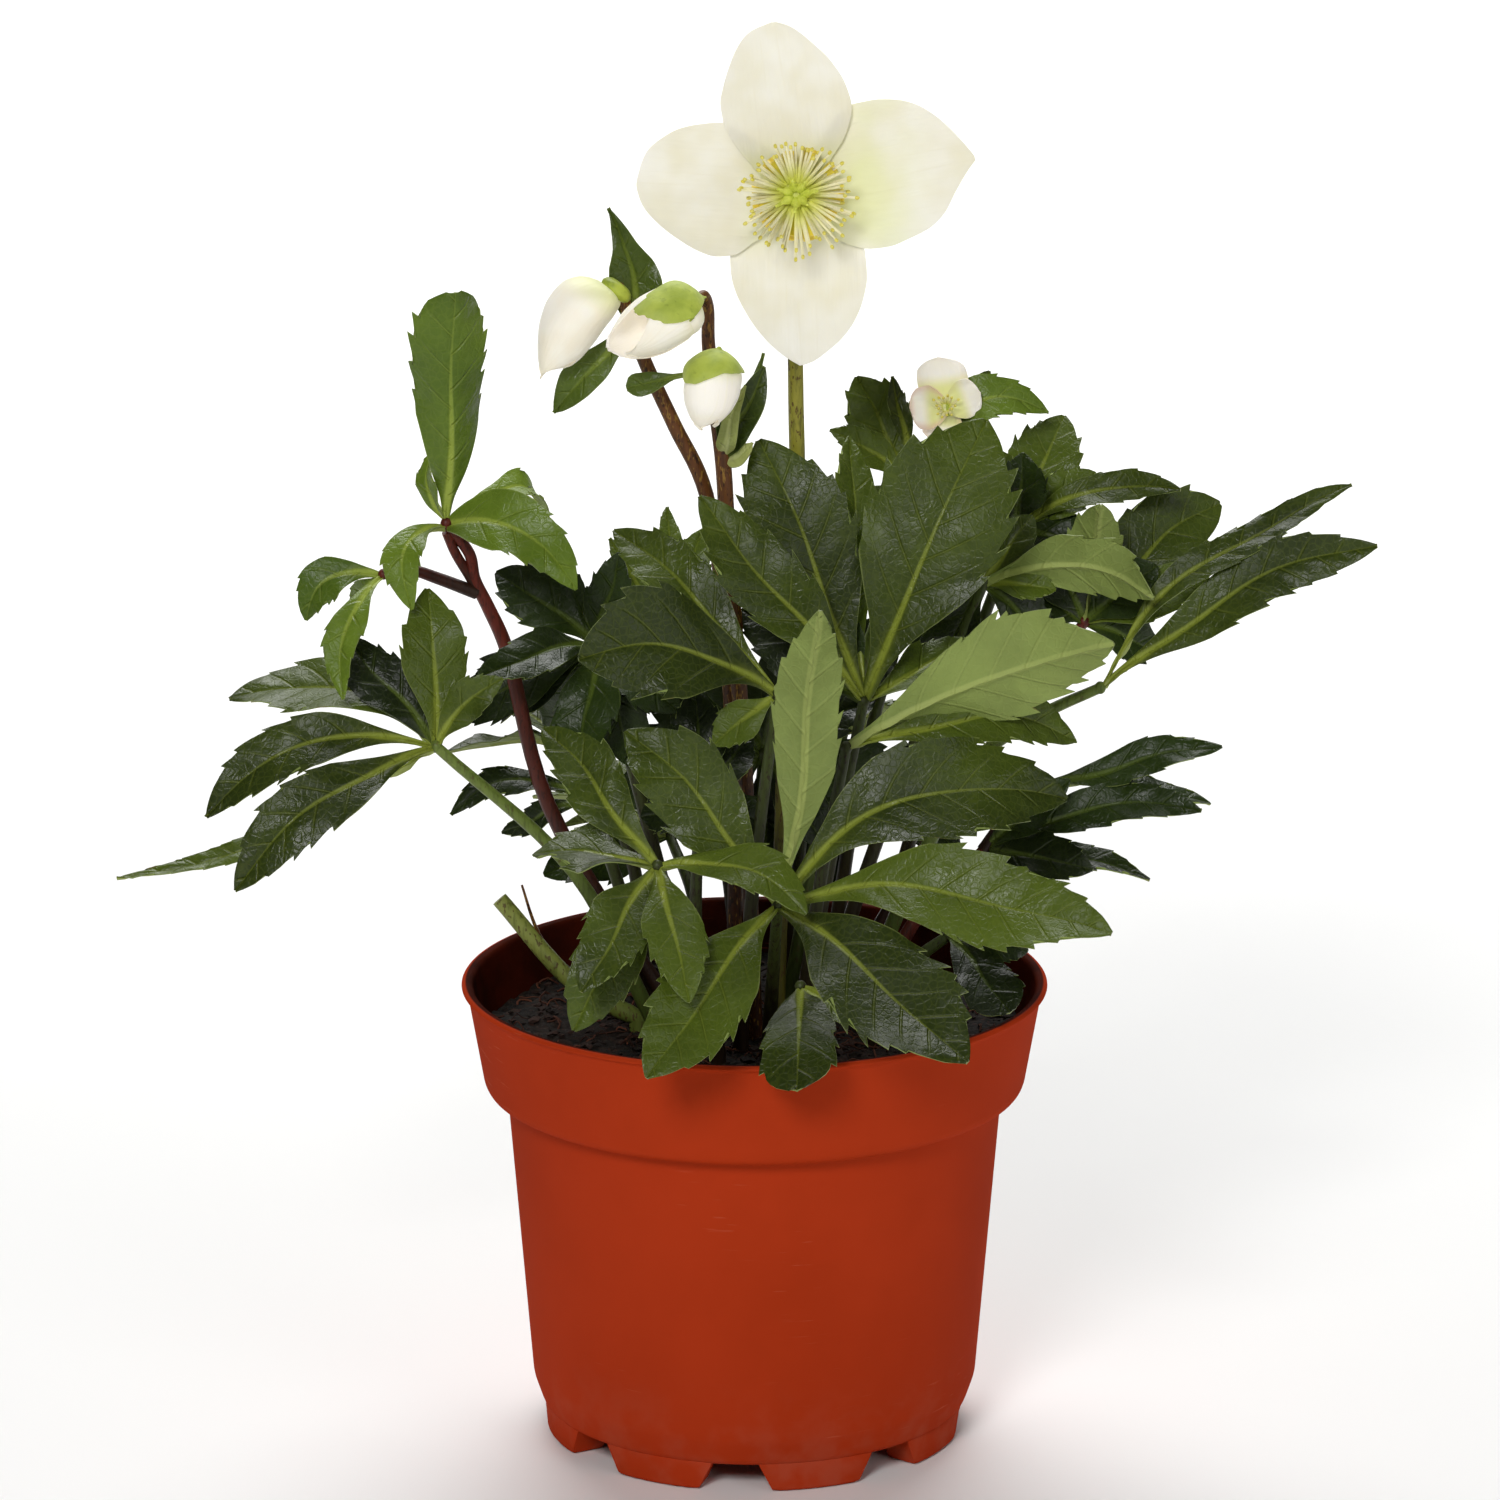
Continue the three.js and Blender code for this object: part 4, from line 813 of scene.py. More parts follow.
LEAF = {
  "upper": leaf_finish("leaf_upper", "#28330a", "#52621b", "#96a13c", "#98a35a"),
  # A darker copy of the upper face: painted shade for leaves and leaflets deep inside the plant.
  "shaded": leaf_finish("leaf_painted_shade", "#141d06", "#26350e", "#5c6c28", "#65733a"),
  "young": leaf_finish("leaf_young", "#445a14", "#6f8626", "#a3b24a", "#a9b765"),
  "under": underside_finish("leaf_under", "#8a9a50", "#adb868"),
  "rim": rim_finish("leaf_rim", "#7d8a4c", "#7a6238"),
  "bract": leaf_finish("bract_upper", "#2b380e", "#4f611d", "#7f8f38", "#8f9c50"),
  "pale_bract": leaf_finish("bract_pale", "#88914a", "#b2b86e", "#c8ce8c", "#c3ca8a"),
}
STALK = {
  "green": stalk_finish("stalk_green", "#4c5a24", "#6f8038", "#4e3a1c"),
  "cut": stalk_finish("stalk_cut", "#5f6a2a", "#868d42", "#4a3319", 0.8),
  # Darker than the others: a reddish tinge, deepened with painted shade for the stalks inside the plant.
  "tinged_and_shaded": stalk_finish("stalk_tinged", "#2c1c10", "#3f4a1e", "#26130b", 0.7),
  "red": stalk_finish("stalk_red", "#2c170d", "#642317", "#1e0b06"),
  "olive": stalk_finish("stalk_olive", "#5f5a1c", "#948f34", "#4c2f14", 0.85),
  "brown": stalk_finish("stalk_brown", "#43230e", "#643c1a", "#1f0f07", 0.8, "#94702c"),
}

# ---------------------------------------------------------------- leaflets

TOOTH = {
  "from": 0.44, "to": 0.93, "every": 6.6, "most": 6, "fewest": 3, "depth": 0.17, "forward": 0.9,
  "first": {1: 0.35, -1: 0.7}, "jitter": 0.22, "crowding": 0.92, "depths": [0.55, 1.25], "step": 0.004,
}
RIB = {
  "half": 0.85, "taper": 0.7, "most": 0.4, "height": 0.8, "lowering": 0.8, "groove": 0.25, "shallowing": 0.6,
}
BLADE = {
  "thickness": 0.42, "thinning": 0.45, "long": 42, "full": 55, "sway": 0.03, "twist": 14,
  "widths": [0.96, 1.05], "folds": [0.5, 1.7], "ripples": 9, "flutter": 0.13, "flutters": [10, 16],
  "puff": 0.5, "crinkle": 0.2,
}
# A blade longer than the first number, in mm, is drawn with the second number of rows between its teeth.
BLADE_ROWS = [(42, 46), (24, 30), (0, 20)]
# Where the columns between the midrib's flank and the edge lie.
SPREAD = [0.16, 0.34, 0.52, 0.7, 0.86]


def tooth_tips(length, hand, random):
    """Where the teeth of one side have their tips, as shares of the midrib, closer near its end."""
    room = TOOTH["to"] - TOOTH["from"]
    count = length * room / TOOTH["every"] + random.uniform(0.2, 1)
    count = int(np.clip(count, TOOTH["fewest"], TOOTH["most"]))
    order = np.arange(count) + TOOTH["first"][hand] + random.uniform(-TOOTH["jitter"], TOOTH["jitter"], count)
    return TOOTH["from"] + room * np.clip(order / (count + 0.1), 0.02, 1) ** TOOTH["crowding"]


def toothed_edge(stations, tips, depths):
    """What the teeth leave of the half-width at each station, and how far forward the edge leans."""
    left, lean = np.ones_like(stations), np.zeros_like(stations)
    for k, (tip, depth) in enumerate(zip(tips, depths)):
        start = tips[k - 1] if k else tip - 0.1
        inside = (stations > start) & (stations <= tip)
        climb = np.clip((stations - start) / (tip - start), 0, 1)
        loss = depth * (1 - climb ** 1.4) if k else depth * 0.3 * np.sin(math.pi * climb)
        left = np.where(inside, 1 - loss, left)
        lean = np.where(inside, climb ** 4 * depth / TOOTH["depth"], lean)
    fading = depths[-1] * np.clip((1 - stations) / (1 - tips[-1]), 0, 1)
    return np.where(stations > tips[-1], 1 - fading, left), lean


class Blade:
    """A leaflet while it is drawn: the CAD's midrib and edges, with teeth, quilting and a raised midrib."""

    def __init__(self, hub, row, phase, seed, plain):
        tip, width, bow, swing, facing, outline, self.fold = (*row, *(0, VIEWER, None, None)[len(row) - 3:])
        self.phase, self.seed, self.plain, self.random = phase, seed, plain, np.random.default_rng(seed)
        hub, self.tip, up = np.array(hub, float), np.array(tip, float), np.array(facing, float)
        direction = unit(self.tip - hub)
        self.start = hub + BLADE_ROOT * direction
        self.up = unit(up - (up @ direction) * direction)
        bend = bow * self.up + swing * np.cross(direction, self.up)
        self.middle = self.start + 0.5 * (self.tip - self.start) + bend
        self.length = np.linalg.norm(self.tip - self.start)
        self.tips = {hand: tooth_tips(self.length, hand, self.random) for hand in (-1, 1)}
        self.stations = self.spaced()
        usual = PLAIN_EDGE if plain else SHORT_EDGE if self.length < BLADE["long"] else LONG_EDGE
        self.reach = eased(outline or usual, self.stations) * width / 2
        self.rib = np.minimum(RIB["half"] * (1 - RIB["taper"] * self.stations), RIB["most"] * self.reach)

    def spaced(self):
        """The stations of the rows along the midrib: evenly spaced, and two at each tooth's tip."""
        stations = np.linspace(0, 1, next(rows for longer, rows in BLADE_ROWS if self.length > longer))
        if not self.plain:
            tips = np.concatenate([self.tips[-1], self.tips[1]])
            stations = np.concatenate([stations, tips, tips + TOOTH["step"]])
        return np.unique(np.round(np.clip(stations, 0, 1), 4))

    def axes(self):
        """The midrib's points and the ways along, outward and up at each, swayed and twisted by lot."""
        s, draw = self.stations[:, None], self.random.uniform
        along = unit(2 * (1 - s) * (self.middle - self.start) + 2 * s * (self.tip - self.middle))
        up = unit(self.up - (along @ self.up)[:, None] * along)
        outward = np.cross(along, up)
        sway = self.length * np.sin(math.pi * s) * np.sin(2 * math.pi * s)
        most, twist = BLADE["sway"], BLADE["twist"]
        point = bezier(self.start, self.middle, self.tip, s)
        point = point + sway * (draw(-most, most) * up + draw(-most, most) * outward)
        turn = np.radians(draw(-twist, twist)) * s + np.radians(draw(-twist, twist)) * s * s
        cos, sin = np.cos(turn), np.sin(turn)
        return point, along, cos * outward - sin * up, cos * up + sin * outward

    def quilting(self, hand, span, share):
        """How far the skin rises between its side veins, and its fine crinkles."""
        place = self.stations * self.length
        lane = (place - VEIN_SLANT * span) / VEIN_SPACING + 0.25 * hand + self.seed * 0.37
        crinkle = ripple(place / 2.9 + self.seed % 40, hand * span / 2.3 + 30, self.seed)
        rise = BLADE["puff"] * np.abs(np.sin(math.pi * lane)) + BLADE["crinkle"] * crinkle
        return min(1, self.length / BLADE["full"]) * 4 * share * (1 - np.minimum(share, 1)) * rise

    def side(self, hand):
        """The columns of one half, from the midrib's flank to the edge. Each holds, for every row, the
        distance from the midrib, the height, the lean forward and the share of the half-width."""
        stations, draw = self.stations, self.random.uniform
        depths = TOOTH["depth"] * draw(*TOOTH["depths"], len(self.tips[hand]))
        left, lean = (1, 0) if self.plain else toothed_edge(stations, self.tips[hand], depths)
        side = self.reach * draw(*BLADE["widths"])
        fold = draw(*BLADE["folds"])
        fold = BLADE_FOLD * (fold if self.fold is None else self.fold)
        beat, shift = draw(*BLADE["flutters"]), draw(0, 6)
        wave = BLADE_WAVE * np.sin(BLADE["ripples"] * stations + self.phase + hand)
        flutter = BLADE["flutter"] * np.sin(beat * stations + shift)
        columns = []
        for span in (self.rib, *[self.rib + (side - self.rib) * f for f in SPREAD], side * left):
            share = span / side
            height = (fold + wave + flutter * share) * share ** 1.4 * side + self.quilting(hand, span, share)
            columns.append([hand * span, height, VEIN_LEAD * span * (1 - stations), share])
        columns[-1][2] = columns[-1][2] + TOOTH["forward"] * TOOTH["depth"] * side * lean
        return columns

    def columns(self):
        """The columns from one edge to the other, with the midrib's groove in the middle."""
        left, right = self.side(-1), self.side(1)
        groove = -RIB["groove"] * (1 - RIB["shallowing"] * self.stations) * np.minimum(1, self.reach / 2)
        none = 0 * self.reach
        return np.array([*left[::-1], [none, groove, none, none], *right]).transpose(1, 2, 0)


def add_blade(shells, hub, row, phase, seed, finishes=(0, 1, 2), plain=False):
    blade = Blade(hub, row, phase, seed, plain)
    point, *ways = blade.axes()
    aside, height, forward, share = blade.columns()
    grid = point[:, None]
    for distance, way in zip((forward, aside, height), ways):
        grid = grid + distance[..., None] * way[:, None]
    thickness = BLADE["thickness"] * (1 - BLADE["thinning"] * np.minimum(share, 1) ** 2)
    thickness[:, share.shape[1] // 2] += RIB["height"] * (1 - RIB["lowering"] * blade.stations)
    s = blade.stations[:, None]
    tones = (blade.random.uniform(0, 1), share, s)
    add_sheet(shells, grid, thickness, finishes, (s * blade.length + forward, aside), tones)


# ---------------------------------------------------------------- leaves

# Shares of PETIOLE_RADIUS at a stalk's foot and end.
PETIOLE = {"leaf": [1.05, 0.66], "branch": [0.85, 0.65], "twin": [0.62, 0.62]}
HUB = {"shape": np.array([0.56, 0.56, 0.62]), "leaf": 0.82, "branch": 0.7}
# Leaves whose upper faces wear the darker copy: painted shade where the plant shades them.
SHADE_PAINTED_LEAVES = [
  "leaf_inner_left", "leaf_inner_back", "leaf_back_left", "leaf_low_left", "leaf_low_right", "leaf_right_low",
]
# Stalks not listed here take the tinged stalk finish, which is darkened with painted shade.
STALK_OF = {
  "leaf_top_left": "red", "leaf_left": "green", "leaf_right_low": "red", "leaf_right_upper": "red",
  "leaf_far_right": "green",
}


def soil_stem(row, *end):
    """A stem's line: upright out of the soil, then a smooth curve through its points."""
    x, y = row["hole"]
    curve = catmull([[x, y, SOIL_MOUTH], *row["through"], *end], 7)
    return np.vstack([[x, y, STEM_FOOT], [x, y, 0.5 * (STEM_FOOT + SOIL_MOUTH)], curve])


def add_petiole(shells, path, kind):
    add_tube(shells, path, np.linspace(*PETIOLE[kind], len(path)) * PETIOLE_RADIUS, 3)


def add_leaf(shells, row, seed, inner):
    """A leaf's stalk and leaflets, and its smaller leaflets in the others' shade, which wear painted shade.
    """
    add_petiole(shells, soil_stem(row, row["hub"]), "leaf")
    if "twin" in row:
        add_petiole(shells, catmull(row["twin"]), "twin")
    fans = {"leaf": row}
    if "branch" in row:
        branch = fans["branch"] = row["branch"]
        add_petiole(shells, catmull([branch["from"], *branch["through"], branch["hub"]]), "branch")
    for order, (kind, fan) in enumerate(fans.items()):
        add_knob(shells, fan["hub"], HUB_RADIUS * HUB[kind] * HUB["shape"], 3)
        for index, leaflet in enumerate(fan["leaflets"]):
            add_blade(shells, fan["hub"], leaflet, index * 1.7, seed * 17 + order * 9 + index)
    for index, leaflet in enumerate(inner):
        add_blade(shells, row["hub"], leaflet, index * 2.3, seed * 31 + index + 500, (4, 4, 4))


def rear_leaf(row, random):
    """A leaf at the back, fanned out by the same rule as in the CAD."""
    rule, azimuth = REAR_RULE, row["azimuth"]
    outward = [*polar(1, azimuth), rule["upward"]]
    hub = [*polar(row["reach"], azimuth), row["height"]]
    rows = []
    for spread in row["fan"]:
        length = row["longest"] * (1 - abs(spread) / rule["shortening"]) * (1 - rule["variation"] * random())
        rise = length * (rule["rise"] - rule["fall"] * polar(1, spread)[0] * random())
        x, y = polar(length, azimuth + spread)
        tip = [hub[0] + x, hub[1] + y, hub[2] + rise]
        rows.append([tip, rule["width"] * length + rule["narrowest"], rule["bow"] * length, 0, outward])
    knee_height = SOIL_TOP + rule["kneeUp"] * (row["height"] - SOIL_TOP)
    knee = [*polar(row["reach"] * rule["kneeOut"], azimuth), knee_height]
    return {"hole": row["hole"], "through": [knee], "hub": hub, "leaflets": rows}


def make_leaves():
    random = seeded_random(11)
    rows = dict(LEAVES)
    for index, row in enumerate(REAR_LEAVES):
        rows[f"leaf_rear_{index + 1}"] = rear_leaf(row, random)
    for seed, (name, row) in enumerate(rows.items(), start=1):
        shells = Shells()
        add_leaf(shells, row, seed, INNER_LEAFLETS.get(name, []))
        young = name == "leaf_top_left"
        # Leaves listed as shaded take the darker upper finish, which paints their shade; the fifth finish
        # paints the inner leaflets' shade.
        upper = "young" if young else "shaded" if name in SHADE_PAINTED_LEAVES else "upper"
        stalk = STALK[STALK_OF.get(name, "tinged_and_shaded")]
        finishes = [LEAF[upper], LEAF["under"], LEAF["rim"], stalk, LEAF["shaded"]]
        shells.piece(name + "_look", finishes, "young_leaf" if young else "leaf", name)


# ---------------------------------------------------------------- finishes of flower and buds

def tepal_finish(name, light, shade, base, blush=None, seen_from=0.0, tint=None, painted_glow=0.0):
    """A cream tepal: thin and slightly translucent, with faint lengthwise veins, green at its base. A
    blush reddens its edge by its shell's lot; a tint lies in patches on the shells whose lot is 1."""
    # The glow is an emission that paints light into shaded tepals: the buds, their insides and the young
    # bloom.
    finish = Finish(
        name, paint(light), Roughness=0.5, Specular_IOR_Level=0.35, Subsurface_Weight=0.25,
        Subsurface_Scale=0.002, Subsurface_Radius=(1.0, 0.9, 0.65), Sheen_Weight=0.12, Sheen_Roughness=0.4,
        Emission_Strength=painted_glow, Emission_Color=paint("#fff7ee"),
    )
    along, across = finish.along_across()
    luck, share, station = finish.tone()
    streaks = finish.node("ShaderNodeCombineXYZ", {0: along * 0.05, 1: across * 0.9})
    veins = finish.noise(1.0, where=streaks)
    finish.layer(finish.noise(70, 2).ramp(0.3, 0.75), paint(shade))
    finish.layer(veins.ramp(0.52, 0.78, 0, 0.35), paint(shade))
    finish.layer(station.ramp(0.04 + seen_from, 0.4 + seen_from, 0.75, 0), paint(base))
    if blush:
        finish.layer(share.ramp(0.2, 1, 0, 0.75) * luck, paint(blush))
    if tint:
        patch = finish.noise(45, 2).ramp(0.35, 0.6, 0, 0.8) * luck.ramp(0.6, 1)
        finish.layer(patch * station.ramp(0.3, 0.85, 1, 0), paint(tint))
    return finish.bumped(veins + finish.noise(500) * 0.15, 0.16)


def plain_finish(name, light, shade, scale=600, roughness=0.5):
    """A small soft part of one hue, mottled finely."""
    finish = Finish(
        name, paint(light), Roughness=roughness, Specular_IOR_Level=0.35, Subsurface_Weight=0.1,
        Subsurface_Scale=0.001, Subsurface_Radius=(1.0, 0.9, 0.5),
    )
    cloud = finish.noise(scale)
    finish.layer(cloud.ramp(0.35, 0.7), paint(shade))
    return finish.bumped(cloud, 0.08)


def filament_finish():
    """A stamen's stalk, yellow-green at its foot and cream towards its anther."""
    finish = Finish("filament", paint("#e9ea78"), Roughness=0.5)
    finish.layer(finish.tone()[2].ramp(0.05, 0.75), paint("#fdf7d2"))
    finish.layer(finish.noise(700).ramp(0.4, 0.7, 0, 0.3), paint("#e3dc84"))
    return finish.bumped(finish.noise(1500), 0.04)


def nectary_finish():
    """A tubular nectary: green-yellow, golden at its mouth."""
    shine = {"Specular_IOR_Level": 0.5, "Coat_Weight": 0.2, "Coat_Roughness": 0.25}
    finish = Finish("nectary", paint("#e6e25c"), Roughness=0.35, **shine)
    finish.layer(finish.tone()[2].ramp(0.2, 0.85), paint("#f2da48"))
    finish.layer(finish.noise(420).ramp(0.5, 0.75, 0, 0.6), paint("#d8bb3a"))
    return finish.bumped(finish.noise(900), 0.06)


def hood_finish():
    """A green outer tepal, velvety, with darker specks and a lighter rim."""
    velvet = {"Specular_IOR_Level": 0.3, "Sheen_Weight": 0.15, "Sheen_Roughness": 0.5}
    finish = Finish("bud_hood", paint("#b4c24c"), Roughness=0.55, **velvet)
    finish.layer(finish.noise(260).ramp(0.3, 0.7), paint("#9cad3e"))
    finish.layer(finish.noise(600, 2).ramp(0.62, 0.72, 0, 0.35), paint("#74852c"))
    finish.layer(finish.tone()[2].ramp(0.75, 1, 0, 0.3), paint("#c3cc74"))
    return finish.bumped(finish.noise(500), 0.15)


BLOOM = {
  "face": tepal_finish("tepal_face", "#fbf7e7", "#efe8cc", "#dde28e", tint="#e9edae"),
  "back": tepal_finish("tepal_back", "#f3efe2", "#dfdac2", "#b5c27a"),
  # The buds' tepals glow a little: painted light on their shaded sides.
  "bud": tepal_finish("tepal_bud", "#faf6e9", "#ebe3c8", "#c9d272", seen_from=-0.05, painted_glow=0.14),
  # The inside of a bud's far tepal is lightened and glows: painted light in its shade.
  "bud_inside": tepal_finish("tepal_bud_inside", "#fcf8f0", "#f1eadc", "#dfe0ae", painted_glow=0.17),
  # The young bloom sits in the big flower's shadow, so its tepals are lightened and glow: painted light.
  "young_face": tepal_finish(
    "young_face", "#fffaf0", "#f6ecd8", "#cfd648", "#dcb09a", seen_from=0.32, painted_glow=0.1,
  ),
  "young_back": tepal_finish("young_back", "#f7ecdc", "#e2d6b8", "#a9b565", "#c99a88", seen_from=0.1),
  "disc": plain_finish("flower_disc", "#dfe27c", "#c3cb56", 500),
  "carpel": plain_finish("carpel", "#e4ea72", "#ccd652", 700),
  "filament": filament_finish(),
  "anther": plain_finish("anther", "#f0e578", "#dccd48", 1400, 0.65),
  "nectary": nectary_finish(),
  "hood": hood_finish(),
  "collar": plain_finish("bud_collar", "#b3c048", "#8c9c34", 400),
}

# ---------------------------------------------------------------- flowers

# Half-width of each open tepal along its length, for its two sides, as shares of the CAD's own.
TEPAL_SIDES = [
  ([[0, 0.3], [0.2, 0.61], [0.33, 0.82], [0.46, 0.95], [0.57, 0.96], [0.66, 0.89], [0.79, 0.74], [0.91, 0.54],
    [0.97, 0.34], [1, 0.04]],
   [[0, 0.3], [0.17, 0.57], [0.3, 0.84], [0.47, 1], [0.59, 0.95], [0.74, 0.77], [0.86, 0.52], [0.94, 0.32],
    [0.98, 0.17], [1, 0.04]]),
  ([[0, 0.3], [0.27, 0.8], [0.36, 0.96], [0.48, 1], [0.57, 0.95], [0.74, 0.75], [0.87, 0.53], [0.95, 0.33],
    [0.99, 0.13], [1, 0.04]],
   [[0, 0.3], [0.3, 0.84], [0.48, 0.99], [0.63, 0.94], [0.75, 0.86], [0.87, 0.68], [0.95, 0.48],
    [0.985, 0.25], [1, 0.04]]),
  ([[0, 0.3], [0.16, 0.62], [0.3, 0.93], [0.41, 1.02], [0.5, 1.02], [0.64, 0.96], [0.74, 0.85], [0.83, 0.66],
    [0.9, 0.44], [0.96, 0.21], [1, 0.03]],
   [[0, 0.3], [0.16, 0.67], [0.26, 0.83], [0.34, 0.9], [0.45, 0.92], [0.56, 0.87], [0.68, 0.79], [0.78, 0.63],
    [0.86, 0.39], [0.94, 0.17], [1, 0.03]]),
  ([[0, 0.3], [0.22, 0.77], [0.34, 0.97], [0.49, 0.99], [0.63, 0.92], [0.75, 0.79], [0.85, 0.6], [0.93, 0.36],
    [0.98, 0.17], [1, 0.03]],
   [[0, 0.3], [0.22, 0.84], [0.36, 1], [0.46, 0.99], [0.55, 0.94], [0.7, 0.77], [0.82, 0.57], [0.92, 0.33],
    [0.97, 0.16], [1, 0.03]]),
]
YOUNG_SIDE = [[0, 0.4], [0.25, 0.8], [0.5, 1], [0.75, 0.93], [0.9, 0.66], [0.97, 0.36], [1, 0.06]]
TEPAL = {
  "rows": 36, "columns": 25, "thickness": 0.4, "dish": 0.05, "curl": 2.2, "ruffle": 0.16, "ribs": 0.07,
  "crease": 0.3, "creaseWidth": 0.16,
}
CARPEL_RADII = [1.1, 1.2, 1.15, 0.95, 0.65, 0.45, 0.4, 0.3]
FILAMENT_RADII = [0.46, 0.3]
# An anther's rings: how far they lie beyond the filament's end, and their radii.
ANTHER = {"along": [0, 0.25, 0.6, 0.95, 1.1], "radii": [0.2, 0.4, 0.42, 0.3, 0.06], "sunk": 0.1}


def flower_frame(row):
    """A flower's centre and its axes: across, up in the plane of the tepals, and out along its axis."""
    outward = unit(row["facing"])
    across = unit(np.cross([0, 0, 1], outward))
    return np.array(row["centre"], float), np.stack([across, np.cross(outward, across), outward])


def add_tepal(shells, where, row, sides, seed, luck, shape=TEPAL):
    """A tepal of an open flower: dished, faintly ribbed along, with a thin and slightly wavy edge."""
    stations = 1 - (1 - np.linspace(0, 1, TEPAL["rows"])) ** 1.4
    columns = np.linspace(1, -1, TEPAL["columns"])
    left, right = (eased(side, stations)[:, None] for side in sides)
    share = np.where(columns > 0, left, right) * columns
    s = stations[:, None]
    along, sideways = s * row["length"] + 0 * share, share * row["width"] / 2
    height = row["lift"] + shape["curl"] * s ** 2 + shape["dish"] * row["width"] * np.minimum(share ** 2, 1)
    height = height + shape["ruffle"] * np.sin(7 * s + 2 * np.sign(columns) + seed) * np.abs(columns) ** 4
    height = height + TEPAL["ribs"] * np.cos(11 * columns + 0.6 * seed) * np.sin(math.pi * s) ** 0.5
    height = height - TEPAL["crease"] * np.exp(-(columns / TEPAL["creaseWidth"]) ** 2) * np.sin(math.pi * s)
    cos, sin = polar(1, row["angle"])
    grid = np.stack([along * cos - sideways * sin, along * sin + sideways * cos, height], -1)
    thin = TEPAL["thickness"] * (1 - 0.55 * np.abs(columns) ** 3) * (1 - 0.4 * s ** 4)
    tones = (luck, np.maximum(np.abs(columns) ** 2, s ** 6), s)
    add_sheet(shells, placed(grid, where), thin, (0, 1, 0), (along, sideways), tones)


def dome(disc, steps=7):
    """The profile of a disc with a rounded front."""
    radius, back, front = disc["radius"], disc["back"], disc["front"]
    turn = np.linspace(0, math.pi / 2, steps)
    rise = min(radius, front - back) * 0.7
    curve = [(max(radius * math.cos(t), 0.02), front - rise + rise * math.sin(t)) for t in turn]
    return [(radius * 0.9, back), *curve]


def leaning(ring, base, lean, angle, length, droop, steps=6):
    """A slender part's line: it leaves a ring round the axis and leans outwards more and more."""
    lengths = np.linspace(0, length, steps)
    leans = lean + droop * (lengths / length - 0.35)
    gaps = np.diff(lengths, prepend=0)
    out, up = ring + np.cumsum(gaps * np.sin(leans)), base + np.cumsum(gaps * np.cos(leans))
    return np.stack([out * math.cos(angle), out * math.sin(angle), up], -1)


def round_the_axis(row, random):
    """Angles spread round the axis, each off its place by a share of a gap that is drawn by lot."""
    for k in range(row["count"]):
        yield 2 * math.pi * (k + random.uniform(*row["jitter"])) / row["count"]


def add_nectary(shells, where, path, row, finish):
    """A little trumpet, open at its mouth: its last two rings turn back into it."""
    radii = row["neck"] + (row["mouth"] - row["neck"]) * np.linspace(0, 1, len(path)) ** 1.3
    radii = np.concatenate([radii, [row["mouth"] * 0.8, row["mouth"] * 0.45]])
    ending = path[-1] - path[-2]
    line = np.vstack([path, path[-1] - 0.02 * ending, path[-2]])
    ways = np.vstack([unit(np.gradient(path, axis=0)), unit(ending), unit(ending)])
    rings = rings_across(line, radii, 9, ways, unit(np.cross(ways, [0.3, 0.2, 1])))
    add_rings(shells, placed(rings, where), finish)


def add_stamen(shells, where, path, random, finishes, size=1.0):
    """A thread that ends in a little anther."""
    radii = np.linspace(*FILAMENT_RADII, len(path)) * size
    add_tube(shells, placed(path, where), radii, finishes[0], sides=5, luck=random.uniform())
    ahead = unit(path[-1] - path[-2])
    body = np.array([path[-1] + ahead * (t * size - ANTHER["sunk"]) for t in ANTHER["along"]])
    add_tube(shells, placed(body, where), np.array(ANTHER["radii"]) * size, finishes[1], sides=6)


def add_carpels(shells, where, random, row):
    for angle in round_the_axis(row, random):
        lean, length = random.uniform(*row["leans"]), random.uniform(*row["lengths"])
        path = leaning(row["ring"], row["base"], lean, angle, length, 0.5, len(CARPEL_RADII))
        add_tube(shells, placed(path, where), CARPEL_RADII, 3, sides=9)


def add_nectaries(shells, where, random, row):
    for angle in round_the_axis(row, random):
        length = row["length"] * random.uniform(row["shortest"], 1)
        lean = row["lean"] - random.uniform(*row["upright"])
        add_nectary(shells, where, leaning(row["ring"], row["base"], lean, angle, length, 0.1), row, 4)


def add_stamens(shells, where, random, row):
    """The stamens spread to a ring of their own, which hangs a little below the flower's axis."""
    for angle in round_the_axis(row, random):
        lean, share = random.uniform(*row["leans"]), random.uniform(row["shortest"], 1)
        reach = row["reach"] * (1 - row["hang"] * math.sin(angle))
        length = min(reach * share / math.sin(lean), row["longest"])
        ring, droop = random.uniform(*row["rings"]), random.uniform(*row["droops"])
        add_stamen(shells, where, leaning(ring, row["base"], lean, angle, length, droop), random, (1, 2))


def make_flower():
    where = flower_frame(FLOWER)
    tepals = Shells()
    for seed, (row, sides) in enumerate(zip(FLOWER["tepals"], TEPAL_SIDES)):
        add_tepal(tepals, where, row, sides, seed, row.get("tint", 0.5))
    add_turned(tepals, where, dome(FLOWER["base"]), 2)
    finishes = [BLOOM[kind] for kind in ("face", "back", "disc")]
    tepals.piece("flower_tepals_look", finishes, "tepal", "flower_tepals")

    centre, random = Shells(), np.random.default_rng(5)
    add_turned(centre, where, dome(FLOWER["disc"]), 0)
    add_carpels(centre, where, random, FLOWER["carpels"])
    add_nectaries(centre, where, random, FLOWER["nectaries"])
    add_stamens(centre, where, random, FLOWER["stamens"])
    finishes = [BLOOM[kind] for kind in ("disc", "filament", "anther", "carpel", "nectary")]
    centre.piece("flower_centre_look", finishes, "stamen", "flower_centre")


